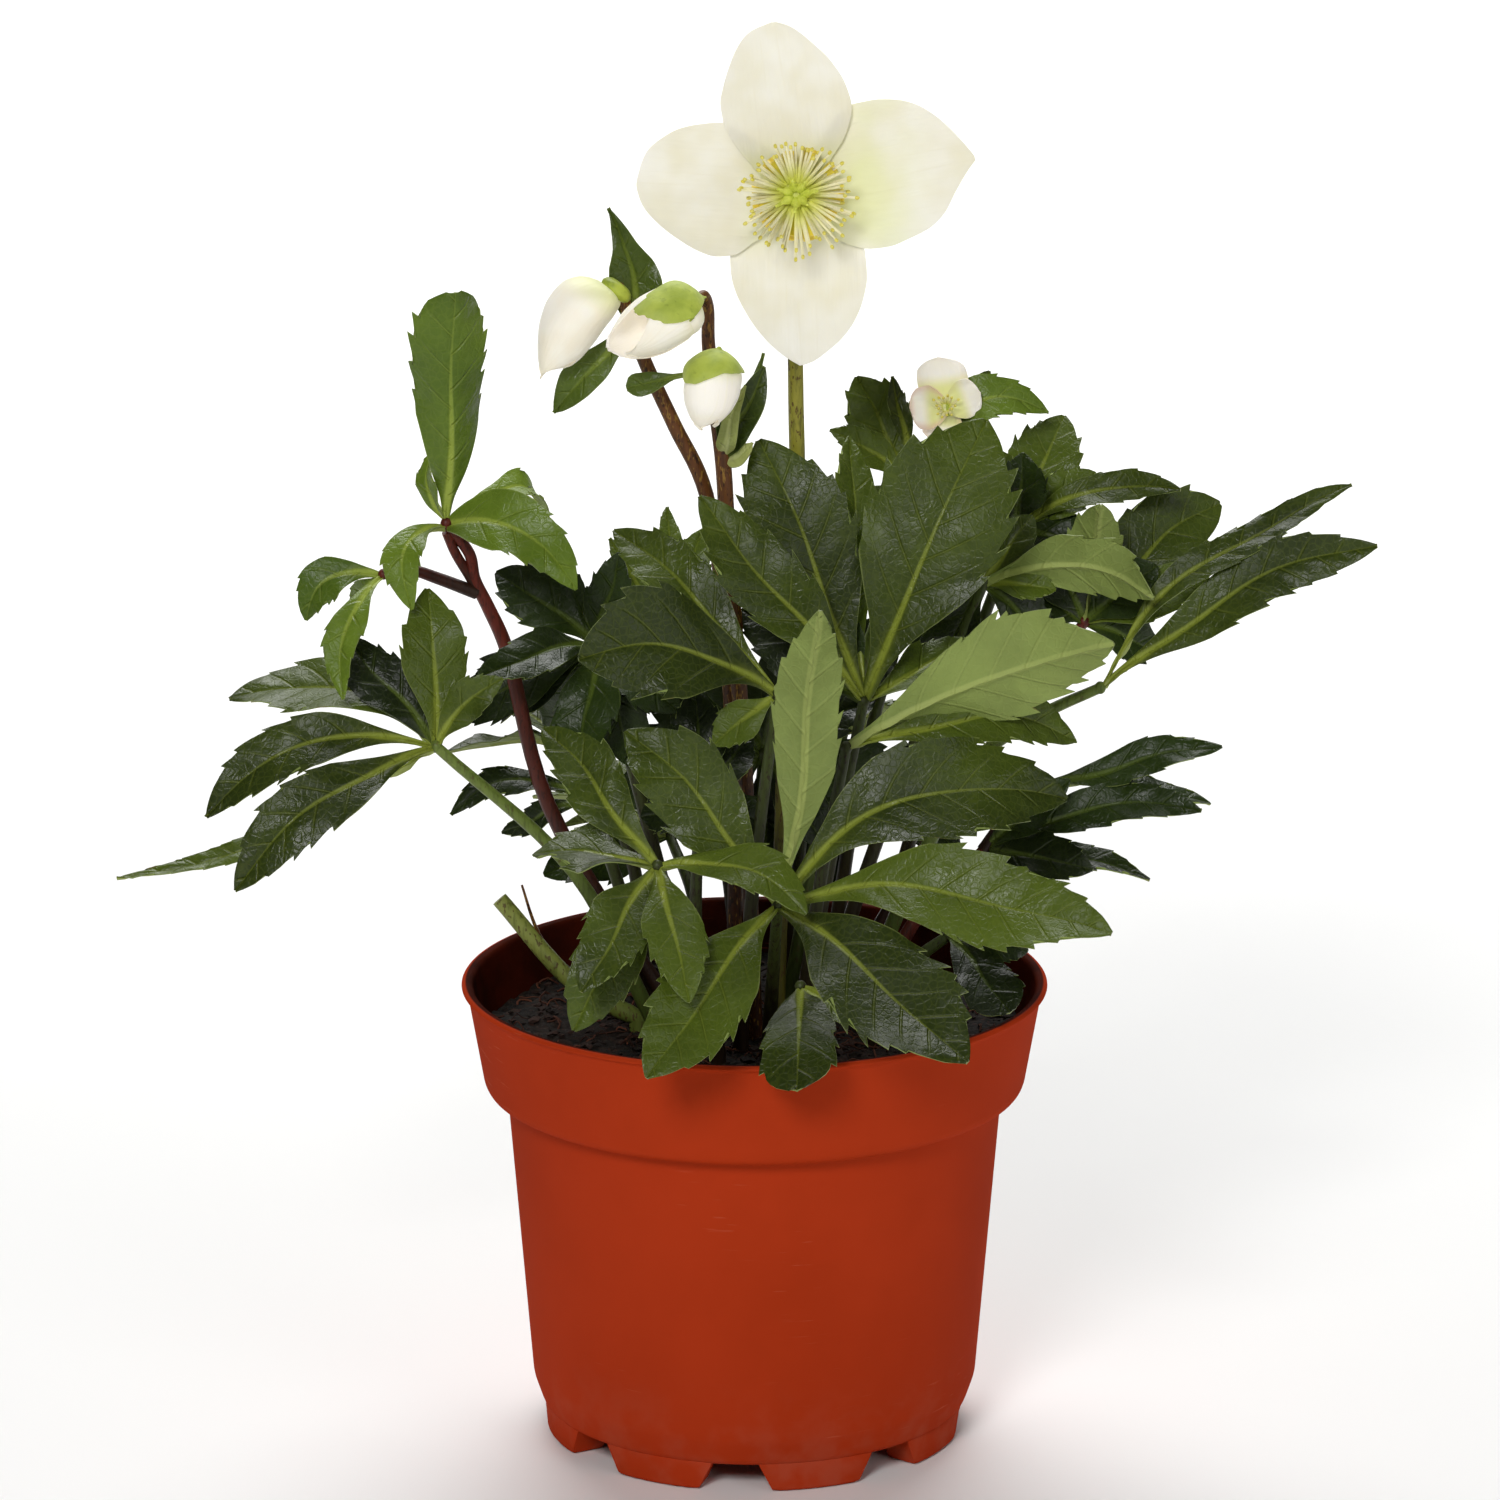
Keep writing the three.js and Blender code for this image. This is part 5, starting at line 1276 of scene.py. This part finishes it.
def make_young_bloom():
    where = flower_frame(YOUNG_BLOOM)
    shells, random = Shells(), np.random.default_rng(8)
    for seed, row in enumerate(YOUNG_BLOOM["tepals"]):
        add_tepal(shells, where, row, (YOUNG_SIDE, YOUNG_SIDE), seed, row["blush"], YOUNG_BLOOM)
    add_turned(shells, where, dome(YOUNG_BLOOM["disc"]), 4)
    row = YOUNG_BLOOM["stamens"]
    for k in range(row["count"]):
        lean, angle = random.uniform(*row["leans"]), 2 * math.pi * k / row["count"]
        length = random.uniform(*row["lengths"])
        path = leaning(row["ring"], row["base"], lean, angle, length, row["droop"], 5)
        add_stamen(shells, where, path, random, (2, 3), 0.8)
    finishes = [BLOOM[kind] for kind in ("young_face", "young_back", "filament", "anther", "collar")]
    shells.piece("young_bloom_look", finishes, "tepal", "young_bloom")


# ---------------------------------------------------------------- buds

BUD_OUTLINE = [
  [0, 0], [0.03, 0.46], [0.12, 0.8], [0.28, 0.98], [0.45, 1], [0.64, 0.88], [0.81, 0.6], [0.93, 0.3], [1, 0],
]
BUD_SLIMMER = 0.7
BUD_START = 0.02
WRAP_THICKNESS = 0.35
HOOD_START = -0.09


def bud_frame(row):
    """A bud's neck and axes, whose second runs to its tip, and its length."""
    neck, tip = np.array(row["neck"], float), np.array(row["tip"], float)
    turn = Vector((0, 1, 0)).rotation_difference(Vector(unit(tip - neck))).to_matrix()
    return (neck, np.array(turn).T), np.linalg.norm(tip - neck)


def bud_radius(row, station, angle):
    fold = 1 + 0.045 * np.cos(3 * angle + 2.4 * station)
    return eased(BUD_OUTLINE, station) * (row["width"] / 2 - BUD_SLIMMER) * fold


def on_bud(row, station, angle, radius):
    """Points round a bud's axis, which is bowed as the bud's row says."""
    where, length = bud_frame(row)
    points = np.stack([radius * np.cos(angle), station * length + 0 * radius, radius * np.sin(angle)], -1)
    bend = np.sin(math.pi * np.clip(station, 0, 1) ** 0.75) + 0 * radius
    return placed(points, where) + bend[..., None] * row.get("bow", (0, 0, 0))


def towards_viewer(where):
    """The angle round a bud's axis that looks to -Y."""
    x, _, z = where[1] @ np.array([0, -1, 0])
    return math.atan2(z, x)


def add_bud_body(shells, row, finish):
    """The closed inner tepals of a bud, which fill a share of its length."""
    stations = (1 - np.cos(np.linspace(0.12, math.pi - 0.1, 34))) / 2
    angles = np.linspace(2 * math.pi, 0, 56, endpoint=False)
    s, a = np.meshgrid(stations, angles, indexing="ij")
    add_rings(shells, on_bud(row, s * row["full"], a, bud_radius(row, s, a)), finish)


def add_wrap(shells, row, middle, half, reach, lift, skew=0.0, edge=POINTED_WRAP, tuck=0.7, inside=0):
    """A tepal that lies over a bud, tucked in at its edges and end."""
    where, length = bud_frame(row)
    t = 1 - (1 - np.linspace(0, 1, 34)[:, None]) ** 1.3
    columns = np.linspace(1, -1, 37)[None, :]
    angle = towards_viewer(where) + math.radians(middle) + math.radians(skew) * t ** 2
    angle = angle + math.radians(half) * eased(edge, t) * columns
    station = BUD_START + (reach - BUD_START) * t - 0.05 * np.abs(columns) ** 3 * t ** 3
    tucked = 1 - tuck * np.maximum(np.abs(columns) ** 6, t ** 10)
    radius = bud_radius(row, np.minimum(station, 0.985), angle) + lift * tucked + WRAP_THICKNESS
    thickness = WRAP_THICKNESS * (1 - 0.5 * np.abs(columns) ** 4) + 0 * t
    coordinates, tones = (station * length, columns * half * 0.12), (0.5, np.abs(columns), t)
    add_sheet(shells, on_bud(row, station, angle, radius), thickness, (0, inside, 0), coordinates, tones)


def add_hood(shells, row):
    """The green outer tepal over a bud: thick, rounded at its edge and closed like a dome over the neck."""
    hood = row["hood"]
    t = np.linspace(0, 1, 34)[:, None]
    columns = np.linspace(1, 0, 61)[None, :]
    angle = math.radians(hood["from"]) + math.radians(hood["to"] - hood["from"]) * columns
    aside = np.abs(2 * columns - 1)
    reach = eased(hood["edge"], columns) + 0.008 * np.sin(31 * columns) + 0.006 * np.sin(53 * columns + 1)
    heel = HOOD_START + hood["heel"] * np.clip(columns / 0.2 - 4, 0, 1) ** 2
    station = heel + (np.maximum(reach, heel + 0.02) - heel) * t
    radius = bud_radius(row, np.clip(station + 0.06, 0.004, 1), angle)
    radius = radius + hood["plump"] * (1 - 0.15 * t ** 8) * (1 - 0.15 * aside ** 10)
    opening = np.clip(1 - (station - HOOD_START) / hood["dome"], 0, 1)
    radius = radius * np.sqrt(np.clip(1 - opening ** 2, 0.012, 1)) + 0.12 * np.sin(5 * angle + 8 * t) * t
    thickness = hood["thickness"] * (1 - 0.5 * np.maximum(t ** 8, aside ** 10)) * np.minimum(1, 0.3 + t / 0.2)
    add_sheet(shells, on_bud(row, station, angle, radius), thickness, (0, 0, 0), tones=(0.5, aside, t))


def make_buds():
    for name, row in BUDS.items():
        shells = Shells()
        add_bud_body(shells, row, 0)
        for wrap in row["wraps"]:
            add_wrap(shells, row, **wrap)
        if "collar" in row:
            (_, turn), _ = bud_frame(row)
            where = np.array(row["collar"]["centre"]), turn[[2, 0, 1]]
            add_turned(shells, where, row["collar"]["profile"], 1)
        finishes = [BLOOM["bud"], BLOOM["collar"], BLOOM["bud_inside"]]
        shells.piece(f"bud_{name}_look", finishes, "tepal", f"bud_{name}", sharp=60)
    for name, row in BUDS.items():
        if "hood" in row:
            shells = Shells()
            add_hood(shells, row)
            shells.piece(f"bud_{name}_hood_look", [BLOOM["hood"]], "bud_hood", f"bud_{name}_hood", sharp=70)


# ---------------------------------------------------------------- flower stems

STEM_SHARE = 1.08
KNOT = np.array([1.08, 1.08, 1.5])


def add_bracts(shells, row, seed):
    """A stem's bracts, and a thickened knot of the stem at each place that they leave."""
    for index, bract in enumerate(row["bracts"]):
        finishes = (4, 1, 2) if bract.get("light") else (0, 1, 2)
        plain = not row.get("leafy")
        add_blade(shells, bract["from"], bract["row"], index, seed * 5 + index, finishes, plain)
    for knot in dict.fromkeys(tuple(bract["from"]) for bract in row["bracts"]):
        add_knob(shells, knot, row["radius"] * KNOT, 3)


def make_stems():
    for seed, (name, row) in enumerate(FLOWER_STEMS.items(), start=60):
        shells = Shells()
        path = soil_stem(row)
        slimming = row["taper"] * np.clip(np.linspace(-0.7, 1, len(path)), 0, 1)
        add_tube(shells, path, (STEM_SHARE - slimming) * row["radius"], 3, sides=14)
        if "sideStalk" in row:
            add_tube(shells, catmull(row["sideStalk"]["points"]), row["sideStalk"]["radius"], 3)
        add_bracts(shells, row, seed)
        if name == "flower_stem":
            add_turned(shells, flower_frame(FLOWER), FLOWER["receptacle"], 3)
        upper, light = ("upper", "young") if row.get("leafy") else ("bract", "pale_bract")
        finishes = [LEAF[upper], LEAF["under"], LEAF["rim"], STALK[row["finish"]], LEAF[light]]
        shells.piece(name + "_look", finishes, row["slot"], name)


def make_cut_stalk():
    shells = Shells()
    path, thread = soil_stem(CUT_STALK), CUT_STALK["thread"]
    add_tube(shells, path, np.linspace(1.1, 0.92, len(path)) * CUT_STALK["radius"], 0, sides=14)
    line = catmull(thread["points"])
    add_tube(shells, line, np.linspace(1, 0.5, len(line)) * thread["radius"], 1, sides=6)
    shells.piece("cut_stalk_look", [STALK["cut"], STALK["brown"]], "young_leaf", "cut_stalk")


# ---------------------------------------------------------------- pot

POT_SIDES = 192
POT_ROUNDING = 1.2
FOOT = {"sunk": 0.8, "draft": 0.5, "rounding": 0.7, "rings": 15, "tuck": 0.05}
DRILL_HEIGHTS = [3, 7, 12]
WALL_SLOPE = (COLLAR["radiusTop"] - COLLAR["radiusBottom"]) / (RIM_TOP - COLLAR["straightTo"])
WALL_MIDDLE = (COLLAR["radiusBottom"] - WALL / 2 - WALL_SLOPE * COLLAR["straightTo"]) * MM


def pot_inside(finish, height):
    """A mask of the pot's inner face above the soil: nearer the axis than the middle of its wall."""
    flat = finish.stretched((1, 1, 0))
    radius = finish.node("ShaderNodeVectorMath", {0: flat}, ["Value"], operation="LENGTH")
    lip = height.ramp((RIM_TOP - 1.2) * MM, (RIM_TOP - 0.3) * MM, 0, 1.1 * MM)
    middle = height * WALL_SLOPE + WALL_MIDDLE + lip
    return (middle - radius).ramp(-0.2 * MM, 0.3 * MM) * height.ramp(86 * MM, 90 * MM)


def pot_finish():
    """Satin terracotta plastic, with painted shade dark on its inner face, and scuffs and dust low down."""
    shine = {"Specular_IOR_Level": 0.0, "Coat_Weight": 0.06, "Coat_Roughness": 0.45}
    finish = Finish("pot_plastic", paint("#b03716"), **shine)
    height = finish.node("ShaderNodeSeparateXYZ", {0: finish.place}, [2])
    scuffs = finish.noise((90, 90, 1500), 2).ramp(0.66, 0.74) * finish.noise(28, 2).ramp(0.5, 0.65)
    painted_inner_shade = finish.noise(60, 4).ramp(0.3, 0.7, 0.86, 0.98)
    dust = height.ramp(0.03, 0, 0, 0.12) * finish.noise(120).ramp(0.4, 0.7)
    finish.layer(finish.noise(16, 4).ramp(0.3, 0.7), paint("#a43212"))
    # Painted shade: the pot's inner face above the soil is darkened nearly to black.
    finish.layer(pot_inside(finish, height) * painted_inner_shade, paint("#260f09"))
    finish.layer(scuffs * 0.35, paint("#c4644a"))
    finish.layer(dust, paint("#b9806a"))
    finish.feed("Roughness", finish.noise(300).ramp(0.3, 0.7, 0.4, 0.5) + scuffs * 0.2)
    return finish.bumped(finish.noise(900, 2) * 0.5 + scuffs * -0.6, 0.05)


def rounded(profile, reach, steps=5):
    """The profile with each corner turned into a short curve that starts reach mm off, at most."""
    profile = np.array(profile, float)
    line = [profile[:1]]
    t = np.linspace(0, 1, steps)[:, None]
    for before, corner, after in zip(profile, profile[1:], profile[2:]):
        gaps = [other - corner for other in (before, after)]
        start, end = (corner + gap * min(reach / np.linalg.norm(gap), 0.45) for gap in gaps)
        line.append(bezier(start, corner, end, t))
    return np.vstack([*line, profile[-1:]])


def pot_profile():
    """The pot's section in radius and height, from its underside's middle round to its inner floor's."""
    lip_bottom, inner_floor = RIM_TOP - LIP_DEPTH, FLOOR["underside"] + FLOOR["thickness"]
    collar, curve = COLLAR["radiusBottom"], COLLAR["rounding"]
    outside = [
        [0.01, FLOOR["underside"]], [FLOOR["radius"], FLOOR["underside"]],
        [FLOOR["radius"] + 1, FLOOR["underside"] + 0.8], [BODY["radiusBottom"], BODY["bottom"]],
        [BODY["radiusTop"], COLLAR["bottom"]], [collar - 3 * curve, COLLAR["bottom"] + 0.2],
        [collar - curve, COLLAR["bottom"] + curve], [collar, COLLAR["straightTo"]],
        [COLLAR["radiusTop"], lip_bottom], [RIM_RADIUS, lip_bottom + 0.4], [RIM_RADIUS, RIM_TOP - 0.6],
        [RIM_RADIUS - 0.6, RIM_TOP],
    ]
    inside = [
        [COLLAR["radiusTop"] - WALL, RIM_TOP - 0.3], [collar - WALL, COLLAR["straightTo"]],
        [BODY["radiusTop"] - WALL, COLLAR["bottom"] + 1.4], [BODY["radiusBottom"] - WALL, BODY["bottom"]],
        [FLOOR["radius"] - WALL, inner_floor], [0.01, inner_floor],
    ]
    return rounded(outside + inside, POT_ROUNDING)


def drill_holes(cup):
    """Cuts the drain holes into the pot's floor, each between two feet."""
    drill = Shells()
    for k in range(FEET["count"]):
        x, y = polar(DRAIN["ring"], FEET["firstCentre"] + (k + 0.5) * 360 / FEET["count"] - 90)
        add_tube(drill, [[x, y, z] for z in DRILL_HEIGHTS], DRAIN["radius"], 0, sides=36)
    cutter = drill.piece("drill", [], "pot_plastic")
    modifier = cup.modifiers.new("drain", "BOOLEAN")
    modifier.operation, modifier.solver, modifier.object = "DIFFERENCE", "EXACT", cutter
    bpy.context.view_layer.update()
    depsgraph = bpy.context.evaluated_depsgraph_get()
    drilled = bpy.data.meshes.new_from_object(cup.evaluated_get(depsgraph))
    cup.modifiers.clear()
    cup.data = drilled
    bpy.data.objects.remove(cutter)


def add_foot(shells, centre_angle):
    """A foot under the pot's edge: a short block that narrows downwards, with rounded corners."""
    inner, outer, low = FEET["inner"], FEET["outer"], FLOOR["underside"]
    top = low + FOOT["sunk"]
    section = [[inner, top], [inner, 0], [outer - FOOT["draft"], 0], [outer, top], [inner + 1, top]]
    radii, heights = rounded(section, FOOT["rounding"], 4)[:-1].T
    rings = []
    for step in np.linspace(-0.5, 0.5, FOOT["rings"]):
        hold = 1 - FOOT["tuck"] * abs(2 * step) ** 12
        radius = (inner + outer) / 2 * (1 - hold) + radii * hold
        height = low / 2 * (1 - hold) + heights * hold
        widening = (FEET["topAngle"] - FEET["bottomAngle"]) * np.clip(height / top, 0, 1)
        angle = np.radians(centre_angle - 90 + step * (FEET["bottomAngle"] + widening))
        x, y = radius * np.cos(angle), radius * np.sin(angle)
        rings.append(np.stack([x, y, np.maximum(height, 0)], -1))
    add_rings(shells, np.array(rings), 0)


def make_pot():
    shells, feet = Shells(), Shells()
    add_turned(shells, (np.zeros(3), np.eye(3)), pot_profile(), 0, POT_SIDES)
    cup = shells.piece("pot_look", [pot_finish()], "pot_plastic", "pot", sharp=40)
    drill_holes(cup)
    for k in range(FEET["count"]):
        add_foot(feet, FEET["firstCentre"] + k * 360 / FEET["count"])
    feet.piece("pot_feet_look", [cup.data.materials[0]], "pot_plastic", "pot", sharp=40)


# ---------------------------------------------------------------- soil

SOIL = {"rings": 90, "sides": 300, "middle": 0.3, "gap": 0.6, "crumbs": 1500, "fibres": 420, "clear": 1.5}
# The soil's waves: their height and length in mm, and how many lengths their pattern is shifted.
SOIL_WAVES = [(0.8, 9, 40), (0.48, 4, 20), (0.5, 1.3, 90), (0.25, 0.6, 160)]
SOIL_SUNK = 0.7
CRUMB_CORNERS = np.vstack([
    [[1, 0, 0], [-1, 0, 0], [0, 1, 0], [0, -1, 0], [0, 0, 1], [0, 0, -1]],
    unit([[x, y, z] for z in (1, -1) for y in (1, -1) for x in (1, -1)]),
])
CRUMB_SIDES = [(0, 2, 4), (2, 1, 4), (3, 0, 4), (1, 3, 4), (2, 0, 5), (1, 2, 5), (0, 3, 5), (3, 1, 5)]
CRUMB_FACES = np.array([
    side for corner, (i, j, k) in enumerate(CRUMB_SIDES, start=6)
    for side in ((i, j, corner), (j, k, corner), (k, i, corner))
])


def soil_finish():
    """Damp peat: near black, crumbly, with brown and reddish grains."""
    finish = Finish("soil_peat", paint("#0e0906"), Roughness=0.9, Specular_IOR_Level=0.25)
    grains = finish.cells(420, "F1")
    finish.layer(finish.noise(90).ramp(0.35, 0.7), paint("#20150f"))
    finish.layer(grains.ramp(0.15, 0.5, 0.5, 0), paint("#2f1e15"))
    finish.layer(finish.noise(330, 2).ramp(0.62, 0.7, 0, 0.5), paint("#432417"))
    return finish.bumped(finish.noise(700) + grains, 0.5)


def crumb_finish(name, light, dark):
    """A crumb or fibre of bark in the peat, a little lighter than it."""
    finish = Finish(name, paint(dark), Roughness=0.85, Specular_IOR_Level=0.2)
    finish.layer(finish.tone()[0], paint(light))
    finish.layer(finish.noise(800).ramp(0.45, 0.7, 0, 0.5), paint(dark))
    return finish.bumped(finish.noise(1200), 0.15)


def soil_height(x, y):
    """Height of the soil's surface: soft lumps, and crumbs upon them."""
    level = SOIL_TOP - SOIL_SUNK
    for seed, (height, length, shift) in enumerate(SOIL_WAVES, start=1):
        level = level + height * ripple(x / length + shift, y / length + shift, seed)
    return level


def on_soil(random, reach, spread=1):
    """A place on the soil, drawn by lot."""
    angle, radius = random.uniform(0, 2 * math.pi), reach * math.sqrt(random.uniform(0, spread))
    return np.array([radius * math.cos(angle), radius * math.sin(angle)])


def add_crumb(shells, random, reach):
    """A lump of bark: a stretched, jittered octahedron, cut finer once."""
    x, y = on_soil(random, reach)
    size = random.uniform(0.35, 1.5) * random.uniform(0.5, 1)
    jitter = random.uniform(0.7, 1.2, (len(CRUMB_CORNERS), 1))
    corners = CRUMB_CORNERS * jitter * [size * random.uniform(1, 2.2), size, size * 0.6]
    cos, sin = polar(1, random.uniform(0, 180))
    corners = corners @ np.array([[cos, sin, 0], [-sin, cos, 0], [0, 0, 1]])
    corners = corners + [x, y, float(soil_height(np.array(x), np.array(y))) + size * 0.2]
    shells.add(corners, [(CRUMB_FACES, 1)], tones=(random.uniform(), 0, 0))


def add_fibre(shells, random, reach):
    """A thin curved fibre that lies on the soil."""
    start = on_soil(random, reach, 0.95)
    heading, length = random.uniform(0, 2 * math.pi), random.uniform(2.5, 9)
    heads = heading + random.uniform(-0.5, 0.5) * np.arange(6)
    line = start + np.cumsum(np.stack([np.cos(heads), np.sin(heads)], -1) * length / 6, axis=0)
    out = np.linalg.norm(line, axis=1)
    line = line * np.minimum(1, reach / np.maximum(out, 1e-6))[:, None]
    arch = random.uniform(0.2, 1.3) * np.sin(math.pi * np.linspace(0, 1, 6))
    line = np.column_stack([line, soil_height(line[:, 0], line[:, 1]) + 0.25 + arch])
    add_tube(shells, line, random.uniform(0.1, 0.28), 2, sides=4, luck=random.uniform())


def soil_body(reach):
    """The soil's rings of points: up along the pot's inner face, then over its top to the middle."""
    radius = np.linspace(SOIL["middle"], reach, SOIL["rings"])
    angle = np.linspace(0, 2 * math.pi, SOIL["sides"], endpoint=False)
    r, a = np.meshgrid(radius, angle, indexing="ij")
    x, y = r * np.cos(a), r * np.sin(a)
    top = np.stack([x, y, soil_height(x, y)], -1)[::-1]
    floor, aside = FLOOR["underside"] + FLOOR["thickness"] + CLEARANCE, WALL + SOIL["gap"]
    side = [
        [SOIL["middle"], floor], [FLOOR["radius"] - WALL - 1, floor],
        [BODY["radiusBottom"] - aside, BODY["bottom"]], [BODY["radiusTop"] - aside, COLLAR["bottom"] + 1.7],
        [COLLAR["radiusBottom"] - aside, COLLAR["straightTo"] + 0.8], [reach, SOIL_TOP - 2.4],
    ]
    return np.concatenate([revolved(side, SOIL["sides"]), top])


def make_soil():
    wall = COLLAR["radiusBottom"] - WALL + WALL_SLOPE * (SOIL_TOP - COLLAR["straightTo"])
    reach = wall - 2 * CLEARANCE
    shells, random = Shells(), np.random.default_rng(21)
    add_rings(shells, soil_body(reach), 0)
    for _ in range(SOIL["crumbs"]):
        add_crumb(shells, random, reach - SOIL["clear"])
    for _ in range(SOIL["fibres"]):
        add_fibre(shells, random, reach - SOIL["clear"])
    finishes = [
        soil_finish(), crumb_finish("soil_crumb", "#33201a", "#120c08"),
        crumb_finish("soil_fibre", "#6b3f2e", "#2c1811"),
    ]
    shells.piece("soil_look", finishes, "soil", "soil", sharp=60)


# ---------------------------------------------------------------- stage

CAMERA = {"place": (-0.001, -1.6, 0.595), "down": 0.267, "lens": 179.448}
STAGE = {"width": 6.0, "front": -6.0, "back": 4.4, "tall": 2.4, "bend": 0.8, "under": 0.0002}
LAMPS = [
    {"name": "key", "place": (-0.45, -1.7, 1.25), "aim": (0, 0, 0.17), "size": 0.6, "power": 20},
    {"name": "fill", "place": (1.2, -1.3, 0.7), "aim": (0, 0, 0.14), "size": 0.9, "power": 5},
    {"name": "floor", "place": (0.0, 1.7, 2.0), "aim": (0, 1.7, 0.0), "size": 2.2, "power": 76},
]
WORLD_STRENGTH = 0.09


def make_stage():
    """A white floor that curves up into a wall far behind."""
    back, bend = STAGE["back"], STAGE["bend"]
    turn = np.linspace(0, math.pi / 2, 16)
    arc = [(back - bend + bend * math.sin(t), bend - bend * math.cos(t)) for t in turn]
    line = [(STAGE["front"], 0.0), *arc, (back, STAGE["tall"])]
    points = [(side * STAGE["width"], y, z - STAGE["under"]) for y, z in line for side in (-1, 1)]
    faces = [(2 * k, 2 * k + 1, 2 * k + 3, 2 * k + 2) for k in range(len(line) - 1)]
    mesh = bpy.data.meshes.new("floor")
    mesh.from_pydata(points, [], faces)
    mesh.shade_smooth()
    floor = linked("floor", mesh)
    finish = Finish("floor_white", paint("#f4f4f3"), Roughness=0.7, Specular_IOR_Level=0.2)
    finish.layer(finish.noise(3, 2).ramp(0.3, 0.7, 0, 0.3), paint("#f1f1f0"))
    mesh.materials.append(finish.material)


def make_lights():
    world = bpy.data.worlds.new("studio")
    world.use_nodes = True
    background = world.node_tree.nodes["Background"]
    background.inputs["Color"].default_value = (1, 1, 1, 1)
    background.inputs["Strength"].default_value = WORLD_STRENGTH
    bpy.context.scene.world = world
    for row in LAMPS:
        light = bpy.data.lights.new(row["name"], "AREA")
        light.shape, light.size, light.energy = "DISK", row["size"], row["power"]
        lamp = linked(row["name"], light)
        lamp.location = row["place"]
        heading = Vector(row["aim"]) - Vector(row["place"])
        lamp.rotation_euler = heading.to_track_quat("-Z", "Y").to_euler()


def make_camera():
    camera = bpy.data.cameras.new("camera")
    camera.sensor_width, camera.lens, camera.clip_end = 36, CAMERA["lens"], 50
    view = linked("camera", camera)
    view.location = CAMERA["place"]
    view.rotation_euler = (math.pi / 2 - CAMERA["down"], 0, 0)
    bpy.context.scene.camera = view
    bpy.context.scene.view_settings.view_transform = "Standard"


make_camera()
make_stage()
make_lights()
make_pot()
make_soil()
make_leaves()
make_stems()
make_cut_stalk()
make_flower()
make_young_bloom()
make_buds()

bpy.context.view_layer.update()
